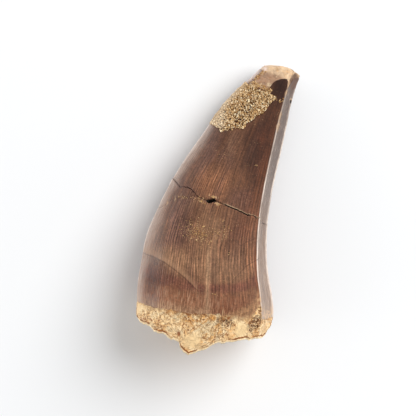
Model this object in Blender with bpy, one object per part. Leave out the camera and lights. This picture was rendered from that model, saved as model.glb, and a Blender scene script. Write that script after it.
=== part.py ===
"""Fossil mosasaur tooth: a recurved crown on a ragged stub of root, with cemented sand near the tip.

The tooth lies on its rounded inner side. Metres, +Z up: it lies along Y with its tip at +Y, the
hollow rear side of its curve faces +X, and Z = 0 is the surface that it rests on. The origin is
under the middle of its bounding box. Sizes below are in millimetres.
"""

import math

import bmesh
import bpy
import numpy as np
from mathutils import noise, Vector

MM = 0.001

# The body, from the root's end to the tip: place along Y, left edge, right edge, the keel's place
# across, the height of the crest, and the height of the underside before it is worn flat.
STATIONS = np.array(
    [
        (-23.4, -9.0, 11.0, 9.6, 15.6, 0.3),
        (-20.4, -9.4, 11.2, 9.6, 15.9, 0.0),
        (-17.5, -10.1, 11.3, 9.6, 16.0, -0.2),
        (-14.5, -10.7, 11.2, 9.2, 15.8, -0.3),
        (-11.5, -11.0, 10.1, 8.1, 15.2, -0.3),
        (-8.5, -11.2, 8.6, 6.9, 14.5, -0.3),
        (-5.0, -11.1, 7.3, 5.8, 13.5, -0.3),
        (-1.0, -10.4, 6.2, 4.9, 12.4, -0.3),
        (3.0, -9.5, 5.5, 4.3, 11.2, -0.25),
        (7.0, -8.4, 5.1, 3.9, 10.0, -0.1),
        (11.0, -7.0, 4.9, 3.7, 8.8, 0.15),
        (15.0, -5.6, 4.6, 3.4, 7.8, 0.5),
        (18.0, -4.1, 4.4, 3.3, 7.2, 0.8),
        (20.0, -2.9, 4.3, 3.2, 6.9, 1.1),
        (21.5, -1.9, 4.3, 3.2, 6.6, 1.4),
        (23.2, -0.9, 4.4, 3.4, 6.0, 1.8),
    ]
)

# The cross-section, as shares of the width and of the height.
LEFT_HEIGHT = 0.40
CREST_PLACE = 0.42
KEEL_PLACE = 0.91
KEEL_HEIGHT = 0.85
RIGHT_HEIGHT = 0.46
BELLY_PLACE = 0.48
SHOULDER_POWER = 2.4
BELLY_POWER = 2.15

# Edges that run round the body, as (across, along) on the upper side and on the underside.
ROOT_END_UPPER = (
    (-9.4, -20.5), (-7.6, -20.7), (-5.3, -21.4), (-2.0, -21.7), (-1.5, -22.6), (-0.3, -23.4),
    (1.7, -22.0), (3.5, -20.5), (5.9, -19.6), (8.2, -18.5), (10.5, -17.9), (11.2, -16.2),
)
ROOT_END_LOWER = ((-7.0, -19.4), (-3.0, -20.2), (1.0, -19.4), (5.0, -19.0), (9.0, -17.4))
ENAMEL_UPPER = (
    (-9.9, -18.2), (-6.0, -17.8), (-3.3, -17.6), (0.1, -16.9), (3.1, -16.4), (5.5, -16.1),
    (7.6, -16.0), (8.5, -14.2), (9.5, -14.9), (10.5, -15.1), (11.1, -14.7),
)
ENAMEL_LOWER = ((-6.0, -17.3), (-1.0, -16.5), (4.0, -15.8), (9.0, -15.0))
CRACK_UPPER = (
    (-9.7, 1.7), (-8.4, 0.9), (-6.8, 1.1), (-5.4, 0.2), (-3.4, 0.2), (-2.4, 0.5), (-0.3, 0.2),
    (1.6, -0.1), (2.7, -0.4), (3.6, -0.1), (4.8, -0.2), (5.3, -0.9), (5.9, -0.9),
)
CRACK_LOWER = ((-7.5, 2.2), (-4.0, 1.6), (0.0, 0.8), (3.0, -0.3))
TIP_UPPER = ((-1.5, 22.2), (0.2, 22.7), (1.7, 23.0), (2.8, 23.0), (4.3, 22.7))
TIP_LOWER = ((0.5, 22.2), (2.5, 22.4))

ROOT_INSET = 0.3
CRACK_WIDTH = 0.45
CRACK_DEPTH = 0.5
TIP_BULGE = 0.45
ROOT_DISH_PLACE = (0.6, -18.3, 7.2)
ROOT_DISH_ROUGHNESS = 0.5

# Points round the section: left shoulder, face, side beyond the keel, right belly, left belly.
SECTION_COUNTS = (12, 11, 4, 11, 12)
ROOT_ROWS = 3
LOWER_CROWN_ROWS = 10
UPPER_CROWN_ROWS = 14
TIP_CAP_SHARES = (0.1, 0.3, 0.6)
ROOT_CAP_SHARES = (0.08, 0.25, 0.5, 0.75)

# The sand: its right-hand edge as (across, along), and how far it goes round the left shoulder.
CRUST_EDGE = (
    (-4.3, 11.0), (-1.7, 12.1), (-0.8, 13.6), (0.4, 15.0), (1.1, 16.6), (1.6, 18.2), (0.2, 19.1),
)
CRUST_UNDER = 0.22
CRUST_SUNK = 0.25
CRUST_PROUD = 0.3
CRUST_BUMPS = 0.12
CRUST_GAP = 0.3
CRUST_COLUMNS = 11
CRUST_ROWS = 13

ENAMEL_COLOUR = (0.19, 0.10, 0.065, 1.0)
ROOT_COLOUR = (0.66, 0.46, 0.24, 1.0)
SAND_COLOUR = (0.42, 0.27, 0.12, 1.0)


def clear_scene():
    for obj in list(bpy.data.objects):
        bpy.data.objects.remove(obj, do_unlink=True)


def along(column, y):
    """A STATIONS column at y, by a smooth curve through the stations."""
    places = STATIONS[:, 0]
    values = STATIONS[:, column]
    slopes = np.gradient(values, places)
    y = np.clip(y, places[0], places[-1])
    i = np.clip(np.searchsorted(places, y, side="right") - 1, 0, len(places) - 2)
    step = places[i + 1] - places[i]
    t = (y - places[i]) / step
    start = values[i] * (1 + 2 * t) * (1 - t) ** 2 + slopes[i] * step * t * (1 - t) ** 2
    end = values[i + 1] * t**2 * (3 - 2 * t) + slopes[i + 1] * step * t**2 * (t - 1)
    return start + end


def section_shape(turn):
    """(across, up) shares of the section at turn: 0 left, 1 crest, 2 keel, 3 right, 4 belly, 5 left."""
    turn = np.mod(turn, 5.0)
    part = np.minimum(turn.astype(int), 4)
    t = turn - part
    bend = t * math.pi / 2
    high = np.clip(np.sin(bend), 0, 1)
    wide = np.clip(np.cos(bend), 0, 1)
    shoulder = 2 / SHOULDER_POWER
    belly = 2 / BELLY_POWER
    across = np.choose(
        part,
        (
            CREST_PLACE * (1 - wide**shoulder),
            CREST_PLACE + (KEEL_PLACE - CREST_PLACE) * t,
            KEEL_PLACE + (1 - KEEL_PLACE) * t**1.25,
            BELLY_PLACE + (1 - BELLY_PLACE) * wide**belly,
            BELLY_PLACE * (1 - high**belly),
        ),
    )
    up = np.choose(
        part,
        (
            LEFT_HEIGHT + (1 - LEFT_HEIGHT) * high**shoulder,
            1 - (1 - KEEL_HEIGHT) * t**2.2,
            KEEL_HEIGHT - (KEEL_HEIGHT - RIGHT_HEIGHT) * t,
            RIGHT_HEIGHT * (1 - high**belly),
            LEFT_HEIGHT * (1 - wide**belly),
        ),
    )
    return across, up


def surface(turn, y):
    """Points of the body's surface, in millimetres, for arrays of turn and y."""
    across, up = section_shape(turn)
    left, right, keel, crest, under = (along(column, y) for column in range(1, 6))
    keel_share = (keel - left) / (right - left)
    before = across * keel_share / KEEL_PLACE
    beyond = 1 - (1 - across) * (1 - keel_share) / (1 - KEEL_PLACE)
    upper = np.mod(turn, 5.0) <= 3.0
    across = np.where(upper, np.where(across <= KEEL_PLACE, before, beyond), across)
    x = left + across * (right - left)
    z = under + up * (crest - under)
    return np.stack([x, y, z], axis=-1)


def outward(turn, y):
    """Unit normals of the surface, pointing out of the body."""
    small = 1e-3
    round_it = surface(turn + small, y) - surface(turn - small, y)
    along_it = surface(turn, y + small) - surface(turn, y - small)
    normal = np.cross(round_it, along_it)
    return normal / np.linalg.norm(normal, axis=-1, keepdims=True)


def share_across(x, y):
    left = along(1, y)
    return (x - left) / (along(2, y) - left)


def edge_along(turn, upper_edge, lower_edge):
    """Where an edge that runs round the body lies along Y, at each turn."""
    across, _ = section_shape(turn)
    first, last = upper_edge[0], upper_edge[-1]
    result = np.empty_like(across)
    for is_upper, edge in ((True, upper_edge), (False, (first, *lower_edge, last))):
        x, y = np.array(edge).T
        share = share_across(x, y)
        share[0] = 0.0
        share[-1] = 1.0
        chosen = (np.mod(turn, 5.0) <= 3.0) == is_upper
        result[chosen] = np.interp(across[chosen], share, y)
    return result


def toward_middle(points, distance):
    """Points moved inwards across the body, towards the middle of their own section."""
    y = points[:, 1]
    middle = np.stack(
        [(along(1, y) + along(2, y)) / 2, y, (along(4, y) + along(5, y)) / 2], axis=-1
    )
    inward = middle - points
    inward /= np.linalg.norm(inward, axis=-1, keepdims=True)
    return points + inward * distance


def section_turns():
    turns = [part + np.arange(count) / count for part, count in enumerate(SECTION_COUNTS)]
    return np.concatenate(turns)


def rows_between(turns, start, end, count):
    """Rings of surface points evenly spaced between two edges, both edges left out."""
    shares = np.arange(1, count + 1) / (count + 1)
    return [surface(turns, start + (end - start) * share) for share in shares]


def cap_rows(edge, centre, shares, bulge):
    """Rings that close an end: from its edge towards its centre, bulging along Y."""
    rows = []
    for share in shares:
        row = edge + (centre - edge) * share
        row[:, 1] += bulge * math.sin(math.pi * share)
        rows.append(row)
    return rows


def body_rows():
    """The rings of the body, from the root's broken end to the tip."""
    turns = section_turns()
    root_end = edge_along(turns, ROOT_END_UPPER, ROOT_END_LOWER)
    enamel = edge_along(turns, ENAMEL_UPPER, ENAMEL_LOWER)
    crack = edge_along(turns, CRACK_UPPER, CRACK_LOWER)
    tip = edge_along(turns, TIP_UPPER, TIP_LOWER)

    root_rows = [surface(turns, root_end), *rows_between(turns, root_end, enamel, ROOT_ROWS)]
    root_rows.append(surface(turns, enamel))
    root_rows = [toward_middle(row, ROOT_INSET) for row in root_rows]

    half = CRACK_WIDTH / 2
    lower_crown = rows_between(turns, enamel, crack - half, LOWER_CROWN_ROWS)
    upper_crown = rows_between(turns, crack + half, tip, UPPER_CROWN_ROWS)
    groove = toward_middle(surface(turns, crack), CRACK_DEPTH)
    crown_rows = [
        surface(turns, enamel + 0.15),
        *lower_crown,
        surface(turns, crack - half),
        groove,
        surface(turns, crack + half),
        *upper_crown,
        surface(turns, tip),
    ]
    return root_rows, crown_rows


def worn_flat(points):
    """The underside is worn flat where it would reach below Z = 0."""
    points[:, 2] = np.maximum(points[:, 2], 0.0)
    return points


def roughened(rows, amount):
    """Rings moved along Y by a fixed noise, for a broken face."""
    for row in rows:
        for point in row:
            point[1] += amount * noise.noise(Vector(point) * 0.45)
    return rows


def mesh_object(name, points, faces, materials):
    mesh = bpy.data.meshes.new(name)
    mesh.from_pydata([tuple(point * MM) for point in points], [], faces)
    for material in materials:
        mesh.materials.append(material)
    shaper = bmesh.new()
    shaper.from_mesh(mesh)
    bmesh.ops.recalc_face_normals(shaper, faces=shaper.faces)
    bmesh.ops.triangulate(shaper, faces=shaper.faces)
    shaper.to_mesh(mesh)
    shaper.free()
    mesh.shade_smooth()
    mesh.set_sharp_from_angle(angle=math.radians(40))
    obj = bpy.data.objects.new(name, mesh)
    bpy.context.scene.collection.objects.link(obj)
    return obj


def finish_material(name, colour, roughness):
    material = bpy.data.materials.new(name)
    material.use_nodes = True
    shader = material.node_tree.nodes["Principled BSDF"]
    shader.inputs["Base Color"].default_value = colour
    shader.inputs["Roughness"].default_value = roughness
    shader.inputs["Metallic"].default_value = 0.0
    material.diffuse_color = colour
    return material


def tube_faces(row_count, row_length, start_pole, end_pole):
    """Quads between closed rings, and a fan of triangles at each end."""
    faces = []
    for row in range(row_count - 1):
        for i in range(row_length):
            following = (i + 1) % row_length
            low = row * row_length
            high = low + row_length
            faces.append((low + i, low + following, high + following, high + i))
    last = (row_count - 1) * row_length
    for i in range(row_length):
        following = (i + 1) % row_length
        faces.append((start_pole, following, i))
        faces.append((end_pole, last + i, last + following))
    return faces


def make_tooth():
    root_rows, crown_rows = body_rows()
    dish = np.array(ROOT_DISH_PLACE)
    tip_edge = crown_rows[-1]
    tip_middle = tip_edge.mean(axis=0)
    tip_middle[1] += TIP_BULGE

    root_cap = cap_rows(root_rows[0], dish, ROOT_CAP_SHARES, 0.6)
    root_cap = roughened(root_cap, ROOT_DISH_ROUGHNESS)
    tip_cap = cap_rows(tip_edge, tip_middle, TIP_CAP_SHARES, 0.15)
    rows = [*root_cap[::-1], *root_rows, *crown_rows, *tip_cap]
    rows = [worn_flat(row) for row in rows]

    row_length = len(rows[0])
    points = np.concatenate([*rows, [dish], [tip_middle]])
    poles = len(points) - 2, len(points) - 1
    faces = tube_faces(len(rows), row_length, *poles)
    enamel = finish_material("enamel", ENAMEL_COLOUR, 0.35)
    root = finish_material("root", ROOT_COLOUR, 0.8)
    tooth = mesh_object("tooth", points, faces, [enamel, root])
    enamel_top = max(row[:, 1].max() for row in root_rows)
    for face in tooth.data.polygons:
        face.material_index = int(face.center.y < (enamel_top - 1.0) * MM)
    return tooth


def crust_shell(name, grow, low, high, bumps, materials):
    """A closed layer over the sand's outline, from low to high above the surface, grown sideways."""
    x, y = np.array(CRUST_EDGE).T
    y = y.copy()
    y[0] -= grow
    y[-1] += grow
    rows = np.linspace(y[0], y[-1], CRUST_ROWS)
    right = np.interp(rows, y, x) + grow
    layers = []
    for offset, bump in ((low, 0.0), (high, bumps)):
        points = []
        for place, edge in zip(rows, right):
            turns = np.linspace(0.0, 3.0, 1200)
            line = surface(turns, np.full_like(turns, place))
            last = np.interp(edge, line[:, 0], turns)
            first = -CRUST_UNDER - grow * 0.12
            share = np.linspace(0.0, 1.0, CRUST_COLUMNS)
            turn = first + (last - first) * share
            level = np.full_like(turn, place)
            base = surface(turn, level)
            rise = np.array([bump * noise.noise(Vector(point) * 0.8) for point in base])
            points.extend(base + outward(turn, level) * (offset + rise)[:, None])
        layers.append(points)
    count = CRUST_ROWS * CRUST_COLUMNS
    faces = []
    for row in range(CRUST_ROWS - 1):
        for column in range(CRUST_COLUMNS - 1):
            corner = row * CRUST_COLUMNS + column
            quad = (corner, corner + 1, corner + CRUST_COLUMNS + 1, corner + CRUST_COLUMNS)
            faces.append(quad[::-1])
            faces.append(tuple(index + count for index in quad))
    rim = [column for column in range(CRUST_COLUMNS)]
    rim += [row * CRUST_COLUMNS + CRUST_COLUMNS - 1 for row in range(1, CRUST_ROWS)]
    rim += [(CRUST_ROWS - 1) * CRUST_COLUMNS + c for c in range(CRUST_COLUMNS - 2, -1, -1)]
    rim += [row * CRUST_COLUMNS for row in range(CRUST_ROWS - 2, 0, -1)]
    for here, following in zip(rim, rim[1:] + rim[:1]):
        faces.append((here, following, following + count, here + count))
    return mesh_object(name, np.array([*layers[0], *layers[1]]), faces, materials)


def make_crust():
    sand = finish_material("sand", SAND_COLOUR, 0.9)
    return crust_shell("sand_crust", 0.0, -CRUST_SUNK, CRUST_PROUD, CRUST_BUMPS, [sand])


def cut_pocket(tooth):
    """The worn pocket in the crown that the sand fills, a gap larger all round than the sand."""
    depth = CRUST_SUNK + CRUST_GAP
    cutter = crust_shell("pocket_cutter", CRUST_GAP, -depth, depth + 1.0, 0.0, [])
    cutter.hide_render = True
    cutter.display_type = "WIRE"
    cut = tooth.modifiers.new("pocket", "BOOLEAN")
    cut.operation = "DIFFERENCE"
    cut.object = cutter


def main():
    clear_scene()
    tooth = make_tooth()
    make_crust()
    cut_pocket(tooth)


main()
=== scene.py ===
import math
import bpy
import numpy as np
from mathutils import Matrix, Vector, noise


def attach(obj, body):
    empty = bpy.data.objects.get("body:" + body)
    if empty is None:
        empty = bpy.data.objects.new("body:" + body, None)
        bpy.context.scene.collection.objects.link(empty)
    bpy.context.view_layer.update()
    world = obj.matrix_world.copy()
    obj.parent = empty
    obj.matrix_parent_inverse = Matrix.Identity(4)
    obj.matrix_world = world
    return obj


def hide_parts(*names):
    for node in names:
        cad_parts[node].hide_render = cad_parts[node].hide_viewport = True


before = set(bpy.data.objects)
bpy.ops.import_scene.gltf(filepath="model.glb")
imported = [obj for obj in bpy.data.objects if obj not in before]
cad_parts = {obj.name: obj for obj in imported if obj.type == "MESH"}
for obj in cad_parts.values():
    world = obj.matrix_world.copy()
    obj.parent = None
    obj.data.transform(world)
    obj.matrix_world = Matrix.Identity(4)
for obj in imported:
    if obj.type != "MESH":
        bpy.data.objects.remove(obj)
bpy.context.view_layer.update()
print("frame loaded:", sorted(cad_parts))

mm = 0.001


def deselectAll():
    if bpy.context.mode != "OBJECT":
        bpy.ops.object.mode_set(mode="OBJECT")
    bpy.ops.object.select_all(action="DESELECT")


def activate(obj):
    deselectAll()
    obj.select_set(True)
    bpy.context.view_layer.objects.active = obj


def readPoints(obj):
    points = np.empty(len(obj.data.vertices) * 3, np.float32)
    obj.data.vertices.foreach_get("co", points)
    return points.reshape(-1, 3).astype(float)


def writePoints(obj, points):
    obj.data.vertices.foreach_set("co", points.astype(np.float32).ravel())
    obj.data.update()


def addFloats(obj, name, values):
    layer = obj.data.attributes.new(name, "FLOAT", "POINT")
    layer.data.foreach_set("value", values.astype(np.float32).ravel())


def smoothStep(low, high, value):
    t = np.clip((value - low) / (high - low), 0.0, 1.0)
    return t * t * (3.0 - 2.0 * t)


def mix(a, b, share):
    return a + (b - a) * share


def noiseGrid(a, b, c):
    a, b, c = np.broadcast_arrays(a, b, c)
    triples = np.stack([a, b, c], axis=-1).reshape(-1, 3).tolist()
    return np.array([noise.noise(triple) for triple in triples]).reshape(a.shape)


def alongCurve(pairs, x):
    known = np.array(pairs)
    return np.interp(x, known[:, 0], known[:, 1])


def swell(value, centre, reach):    # a soft bump, 1 at its centre
    return np.exp(-((value - centre) / reach) ** 2)


def selectPoints(obj, chosen):    # leaves the mesh in edit mode with only these points selected
    activate(obj)
    bpy.ops.object.mode_set(mode="EDIT")
    bpy.ops.mesh.select_mode(type="VERT")
    bpy.ops.mesh.select_all(action="DESELECT")
    bpy.ops.object.mode_set(mode="OBJECT")
    obj.data.vertices.foreach_set("select", chosen)
    bpy.ops.object.mode_set(mode="EDIT")


# the tooth's form, in millimetres

toothForm = {
    # along, left edge, right edge, keel, crest height, underside height
    "stations": (
        (-23.4, -9.0, 11.0, 9.6, 15.6, 0.3),
        (-20.4, -9.4, 11.2, 9.6, 15.9, 0.0),
        (-17.5, -10.1, 11.3, 9.6, 16.0, -0.2),
        (-14.5, -10.7, 11.2, 9.2, 15.8, -0.3),
        (-11.5, -11.0, 10.1, 8.1, 15.2, -0.3),
        (-8.5, -11.25, 8.65, 6.8, 14.5, -0.3),
        (-5.0, -11.15, 7.35, 5.7, 13.5, -0.3),
        (-1.0, -10.5, 6.3, 4.8, 12.4, -0.3),
        (3.0, -9.6, 5.65, 4.2, 11.2, -0.25),
        (7.0, -8.4, 5.25, 3.85, 10.0, -0.1),
        (11.0, -7.0, 5.05, 3.6, 8.8, 0.15),
        (15.0, -5.6, 4.8, 3.35, 7.8, 0.5),
        (18.0, -4.1, 4.5, 3.25, 7.2, 0.8),
        (20.0, -2.95, 4.4, 3.2, 6.9, 1.1),
        (21.5, -2.15, 4.42, 3.25, 6.6, 1.4),
        (23.4, -1.15, 4.75, 3.5, 6.0, 1.8),
    ),
    "leftHeight": 0.40,        # the section, as shares of its width and height
    "crestPlace": 0.42,
    "keelPlace": 0.91,
    "keelHeight": 0.89,
    "rightHeight": 0.46,
    "bellyPlace": 0.48,
    "shoulderPower": 2.4,
    "bellyPower": 2.15,
    "pointsPerPart": (184, 168, 62, 50, 50),   # shoulder, face, strip, right belly, left belly
    # edges that run round the tooth: (across, along) seen from above, then underneath
    "rootEnd": (
        ((-9.3, -20.2), (-8.9, -21.0), (-7.5, -20.95), (-6.7, -21.2), (-6.3, -21.6), (-5.2, -21.45), (-4.4, -21.45),
         (-3.6, -21.95), (-3.3, -22.05), (-3.0, -21.7), (-2.0, -22.0), (-1.6, -22.65), (-0.9, -23.1), (-0.1, -23.4),
         (0.6, -22.9), (1.2, -22.45), (2.3, -21.7), (3.3, -20.65), (3.7, -20.25), (4.4, -20.3), (5.0, -19.9),
         (6.1, -19.55), (6.6, -19.05), (7.7, -18.55), (8.2, -18.75), (9.0, -18.05), (10.3, -17.9), (10.7, -17.3),
         (11.0, -16.4), (11.2, -15.6)),
        ((-7.0, -19.4), (-3.0, -20.2), (1.0, -19.4), (5.0, -19.0), (9.0, -17.4)),
    ),
    "enamelEnd": (
        ((-9.9, -18.0), (-9.3, -18.0), (-8.3, -17.95), (-7.4, -18.0), (-6.4, -17.9), (-5.0, -17.6), (-3.8, -17.4),
         (-3.1, -17.4), (-2.0, -17.25), (-0.5, -16.95), (1.0, -16.55), (2.5, -16.2), (3.6, -16.1), (5.0, -15.95),
         (6.1, -15.85), (6.8, -15.55), (7.5, -15.5), (7.9, -14.8), (8.2, -13.9), (8.35, -13.3), (8.8, -13.0),
         (9.1, -14.0), (9.4, -15.0), (10.1, -14.9), (11.1, -14.3)),
        ((-6.0, -17.3), (-1.0, -16.5), (4.0, -15.8), (9.0, -15.0)),
    ),
    "crack": (
        ((-9.75, 1.85), (-9.1, 1.3), (-8.4, 0.85), (-7.6, 1.1), (-6.9, 1.1), (-6.1, 0.75), (-5.4, 0.2),
         (-4.7, 0.15), (-4.2, 0.05), (-3.8, -0.02), (-3.3, 0.15), (-2.8, 0.4), (-2.3, 0.38), (-1.8, 0.27),
         (-0.9, 0.2), (1.0, 0.0), (2.8, -0.3), (3.6, -0.13), (4.2, -0.33), (4.7, -0.2), (5.3, -0.9), (6.0, -0.9)),
        ((-7.5, 2.2), (-4.0, 1.6), (0.0, 0.8), (3.0, -0.3)),
    ),
    "tipEnd": (
        ((-1.65, 22.75), (-1.25, 23.0), (-0.7, 22.95), (0.2, 23.05), (1.4, 23.25), (2.6, 23.4), (3.5, 23.42),
         (4.2, 23.3), (4.7, 22.95)),
        ((0.5, 22.4), (2.5, 22.7)),
    ),
    # rows of points: from which edge, how far from it, and how many rows to the next entry
    "rowPlan": (
        ("rootEnd", 0.0, 27), ("enamelEnd", -0.2, 2), ("enamelEnd", -0.05, 1), ("enamelEnd", 0.05, 1),
        ("enamelEnd", 0.22, 45), ("crack", -0.9, 3), ("crack", -0.35, 2), ("crack", -0.13, 4),
        ("crack", 0.13, 2), ("crack", 0.35, 3), ("crack", 0.9, 48), ("tipEnd", -4.4, 20),
        ("tipEnd", -0.35, 3), ("tipEnd", 0.0, 0),
    ),
    "rootCapShares": (0.98, 0.92, 0.82, 0.7, 0.56, 0.42, 0.3, 0.2, 0.12, 0.06, 0.02),
    "tipCapShares": (0.03, 0.08, 0.16, 0.27, 0.42, 0.6, 0.8, 0.97),
    "rootDish": (0.6, -18.3, 7.2),   # the deepest point of the broken root face
    "tipBulge": 0.45,
    "rootBreak": ((0.5, 0.45, 1.0), (0.3, 1.3, 2.0), (0.12, 3.5, 3.0)),    # its roughness: height, rate, seed
    "flankEnd": 4.72,                # the turn where the left flank turns under
    "middleSection": -6.0,           # where a middling section is measured
    "seamGap": 0.16,                 # between the last column of points and the first
    "mergeWithin": 0.004,
    # how ragged each edge is: how far it strays, how often, and the noise's two seeds
    "ragged": {
        "rootEnd": ((0.16, 14.0, 0.0, 1.7), (0.07, 45.0, 0.0, 4.1)),
        "enamelEnd": ((0.10, 16.0, 3.0, 0.4), (0.06, 50.0, 3.0, 2.2)),
        "crack": ((0.05, 24.0, 7.0, 0.9), (0.14, 60.0, 7.0, 3.1)),
        "tipEnd": ((0.05, 9.0, 5.0, 0.2),),
    },
}

stationTable = np.array(toothForm["stations"])


def atStation(column, y):
    places, values = stationTable[:, 0], stationTable[:, column]
    slopes = np.gradient(values, places)
    y = np.clip(y, places[0], places[-1])
    i = np.clip(np.searchsorted(places, y, side="right") - 1, 0, len(places) - 2)
    step = places[i + 1] - places[i]
    t = (y - places[i]) / step
    start = values[i] * (1 + 2 * t) * (1 - t) ** 2 + slopes[i] * step * t * (1 - t) ** 2
    end = values[i + 1] * t ** 2 * (3 - 2 * t) + slopes[i + 1] * step * t ** 2 * (t - 1)
    return start + end


def sectionShape(turn):    # turn: 0 left, 1 crest, 2 keel, 3 right, 4 belly, 5 left again
    form = toothForm
    turn = np.mod(turn, 5.0)
    part = np.minimum(turn.astype(int), 4)
    t = turn - part
    high, wide = np.clip(np.sin(t * math.pi / 2), 0, 1), np.clip(np.cos(t * math.pi / 2), 0, 1)
    shoulder, belly = 2 / form["shoulderPower"], 2 / form["bellyPower"]
    across = np.choose(part, (
        form["crestPlace"] * (1 - wide ** shoulder),
        form["crestPlace"] + (form["keelPlace"] - form["crestPlace"]) * t,
        form["keelPlace"] + (1 - form["keelPlace"]) * t ** 1.25,
        form["bellyPlace"] + (1 - form["bellyPlace"]) * wide ** belly,
        form["bellyPlace"] * (1 - high ** belly),
    ))
    up = np.choose(part, (
        form["leftHeight"] + (1 - form["leftHeight"]) * high ** shoulder,
        1 - (1 - form["keelHeight"]) * t ** 1.9,
        form["keelHeight"] - (form["keelHeight"] - form["rightHeight"]) * t,
        form["rightHeight"] * (1 - high ** belly),
        form["leftHeight"] * (1 - wide ** belly),
    ))
    return across, up


def toothSurface(turn, y):
    across, up = sectionShape(turn)
    left, right, keel, crest, under = (atStation(column, y) for column in range(1, 6))
    keelShare = (keel - left) / (right - left)
    place = toothForm["keelPlace"]
    before = across * keelShare / place
    beyond = 1 - (1 - across) * (1 - keelShare) / (1 - place)
    upper = np.mod(turn, 5.0) <= 3.0
    across = np.where(upper, np.where(across <= place, before, beyond), across)
    return np.stack([left + across * (right - left), y + 0 * across, under + up * (crest - under)], axis=-1)


def evenTurns():    # points spread evenly along each part of a middling section
    samples = 400
    turns = []
    for part, count in enumerate(toothForm["pointsPerPart"]):
        fine = part + np.linspace(0.0, 0.99999, samples)
        line = toothSurface(fine, np.full(samples, toothForm["middleSection"]))
        reach = np.concatenate([[0.0], np.cumsum(np.linalg.norm(np.diff(line, axis=0), axis=1))])
        turns.append(np.interp(np.arange(count) / count * reach[-1], reach, fine))
    return np.concatenate(turns)


def shareAcross(x, y):
    left = atStation(1, y)
    return (x - left) / (atStation(2, y) - left)


def edgeAlong(turn, name):
    above, below = toothForm[name]
    across, _ = sectionShape(turn)
    edge = np.empty_like(across)
    for isUpper, pairs in ((True, above), (False, (above[0], *below, above[-1]))):
        x, y = np.array(pairs).T
        share = shareAcross(x, y)
        share[0], share[-1] = 0.0, 1.0
        chosen = (np.mod(turn, 5.0) <= 3.0) == isUpper
        edge[chosen] = np.interp(across[chosen], share, y)
    return edge


turns = evenTurns()
edges = {name: edgeAlong(turns, name) for name in toothForm["ragged"]}
for name, waves in toothForm["ragged"].items():
    for depth, often, seed, otherSeed in waves:
        edges[name] = edges[name] + depth * noiseGrid(turns * often, seed, otherSeed)


def rowHeights():
    plan = toothForm["rowPlan"]
    rows = []
    for here, following in zip(plan, plan[1:]):
        start, end = edges[here[0]] + here[1], edges[following[0]] + following[1]
        rows += [mix(start, end, step / here[2]) for step in range(here[2])]
    rows.append(edges[plan[-1][0]] + plan[-1][1])
    return np.array(rows)


heights = rowHeights()
columnCount = len(turns)
bodyRows = len(heights)
rootCapRows, tipCapRows = len(toothForm["rootCapShares"]), len(toothForm["tipCapShares"])
rowCount = rootCapRows + bodyRows + tipCapRows
print("tooth rows and columns:", rowCount, columnCount)


def makeBlank():    # a plain round bar, extruded in long steps, whose sides are then divided into rows
    total = rowCount - 1
    steps = next(n for n in range(1, total) if total % n == 0 and total // n <= 100)
    deselectAll()
    bpy.ops.mesh.primitive_circle_add(vertices=columnCount, radius=1.0, rotation=(math.radians(-90), 0, 0))
    blank = bpy.context.object
    bpy.ops.object.transform_apply(location=True, rotation=True, scale=True)
    bpy.ops.object.mode_set(mode="EDIT")
    bpy.ops.mesh.select_all(action="SELECT")
    for step in range(steps):
        bpy.ops.mesh.extrude_region_move(TRANSFORM_OT_translate={"value": (0, total // steps, 0)})
    bpy.ops.mesh.select_all(action="DESELECT")
    bpy.ops.mesh.select_mode(type="EDGE")
    bpy.ops.object.mode_set(mode="OBJECT")
    points = readPoints(blank)
    ends = np.empty(len(blank.data.edges) * 2, int)
    blank.data.edges.foreach_get("vertices", ends)
    ends = ends.reshape(-1, 2)
    blank.data.edges.foreach_set("select", np.abs(points[ends[:, 0], 1] - points[ends[:, 1], 1]) > 0.5)
    bpy.ops.object.mode_set(mode="EDIT")
    bpy.ops.mesh.subdivide(number_cuts=total // steps - 1)
    bpy.ops.object.mode_set(mode="OBJECT")
    return blank


# what is carved into the surface, in millimetres

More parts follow.
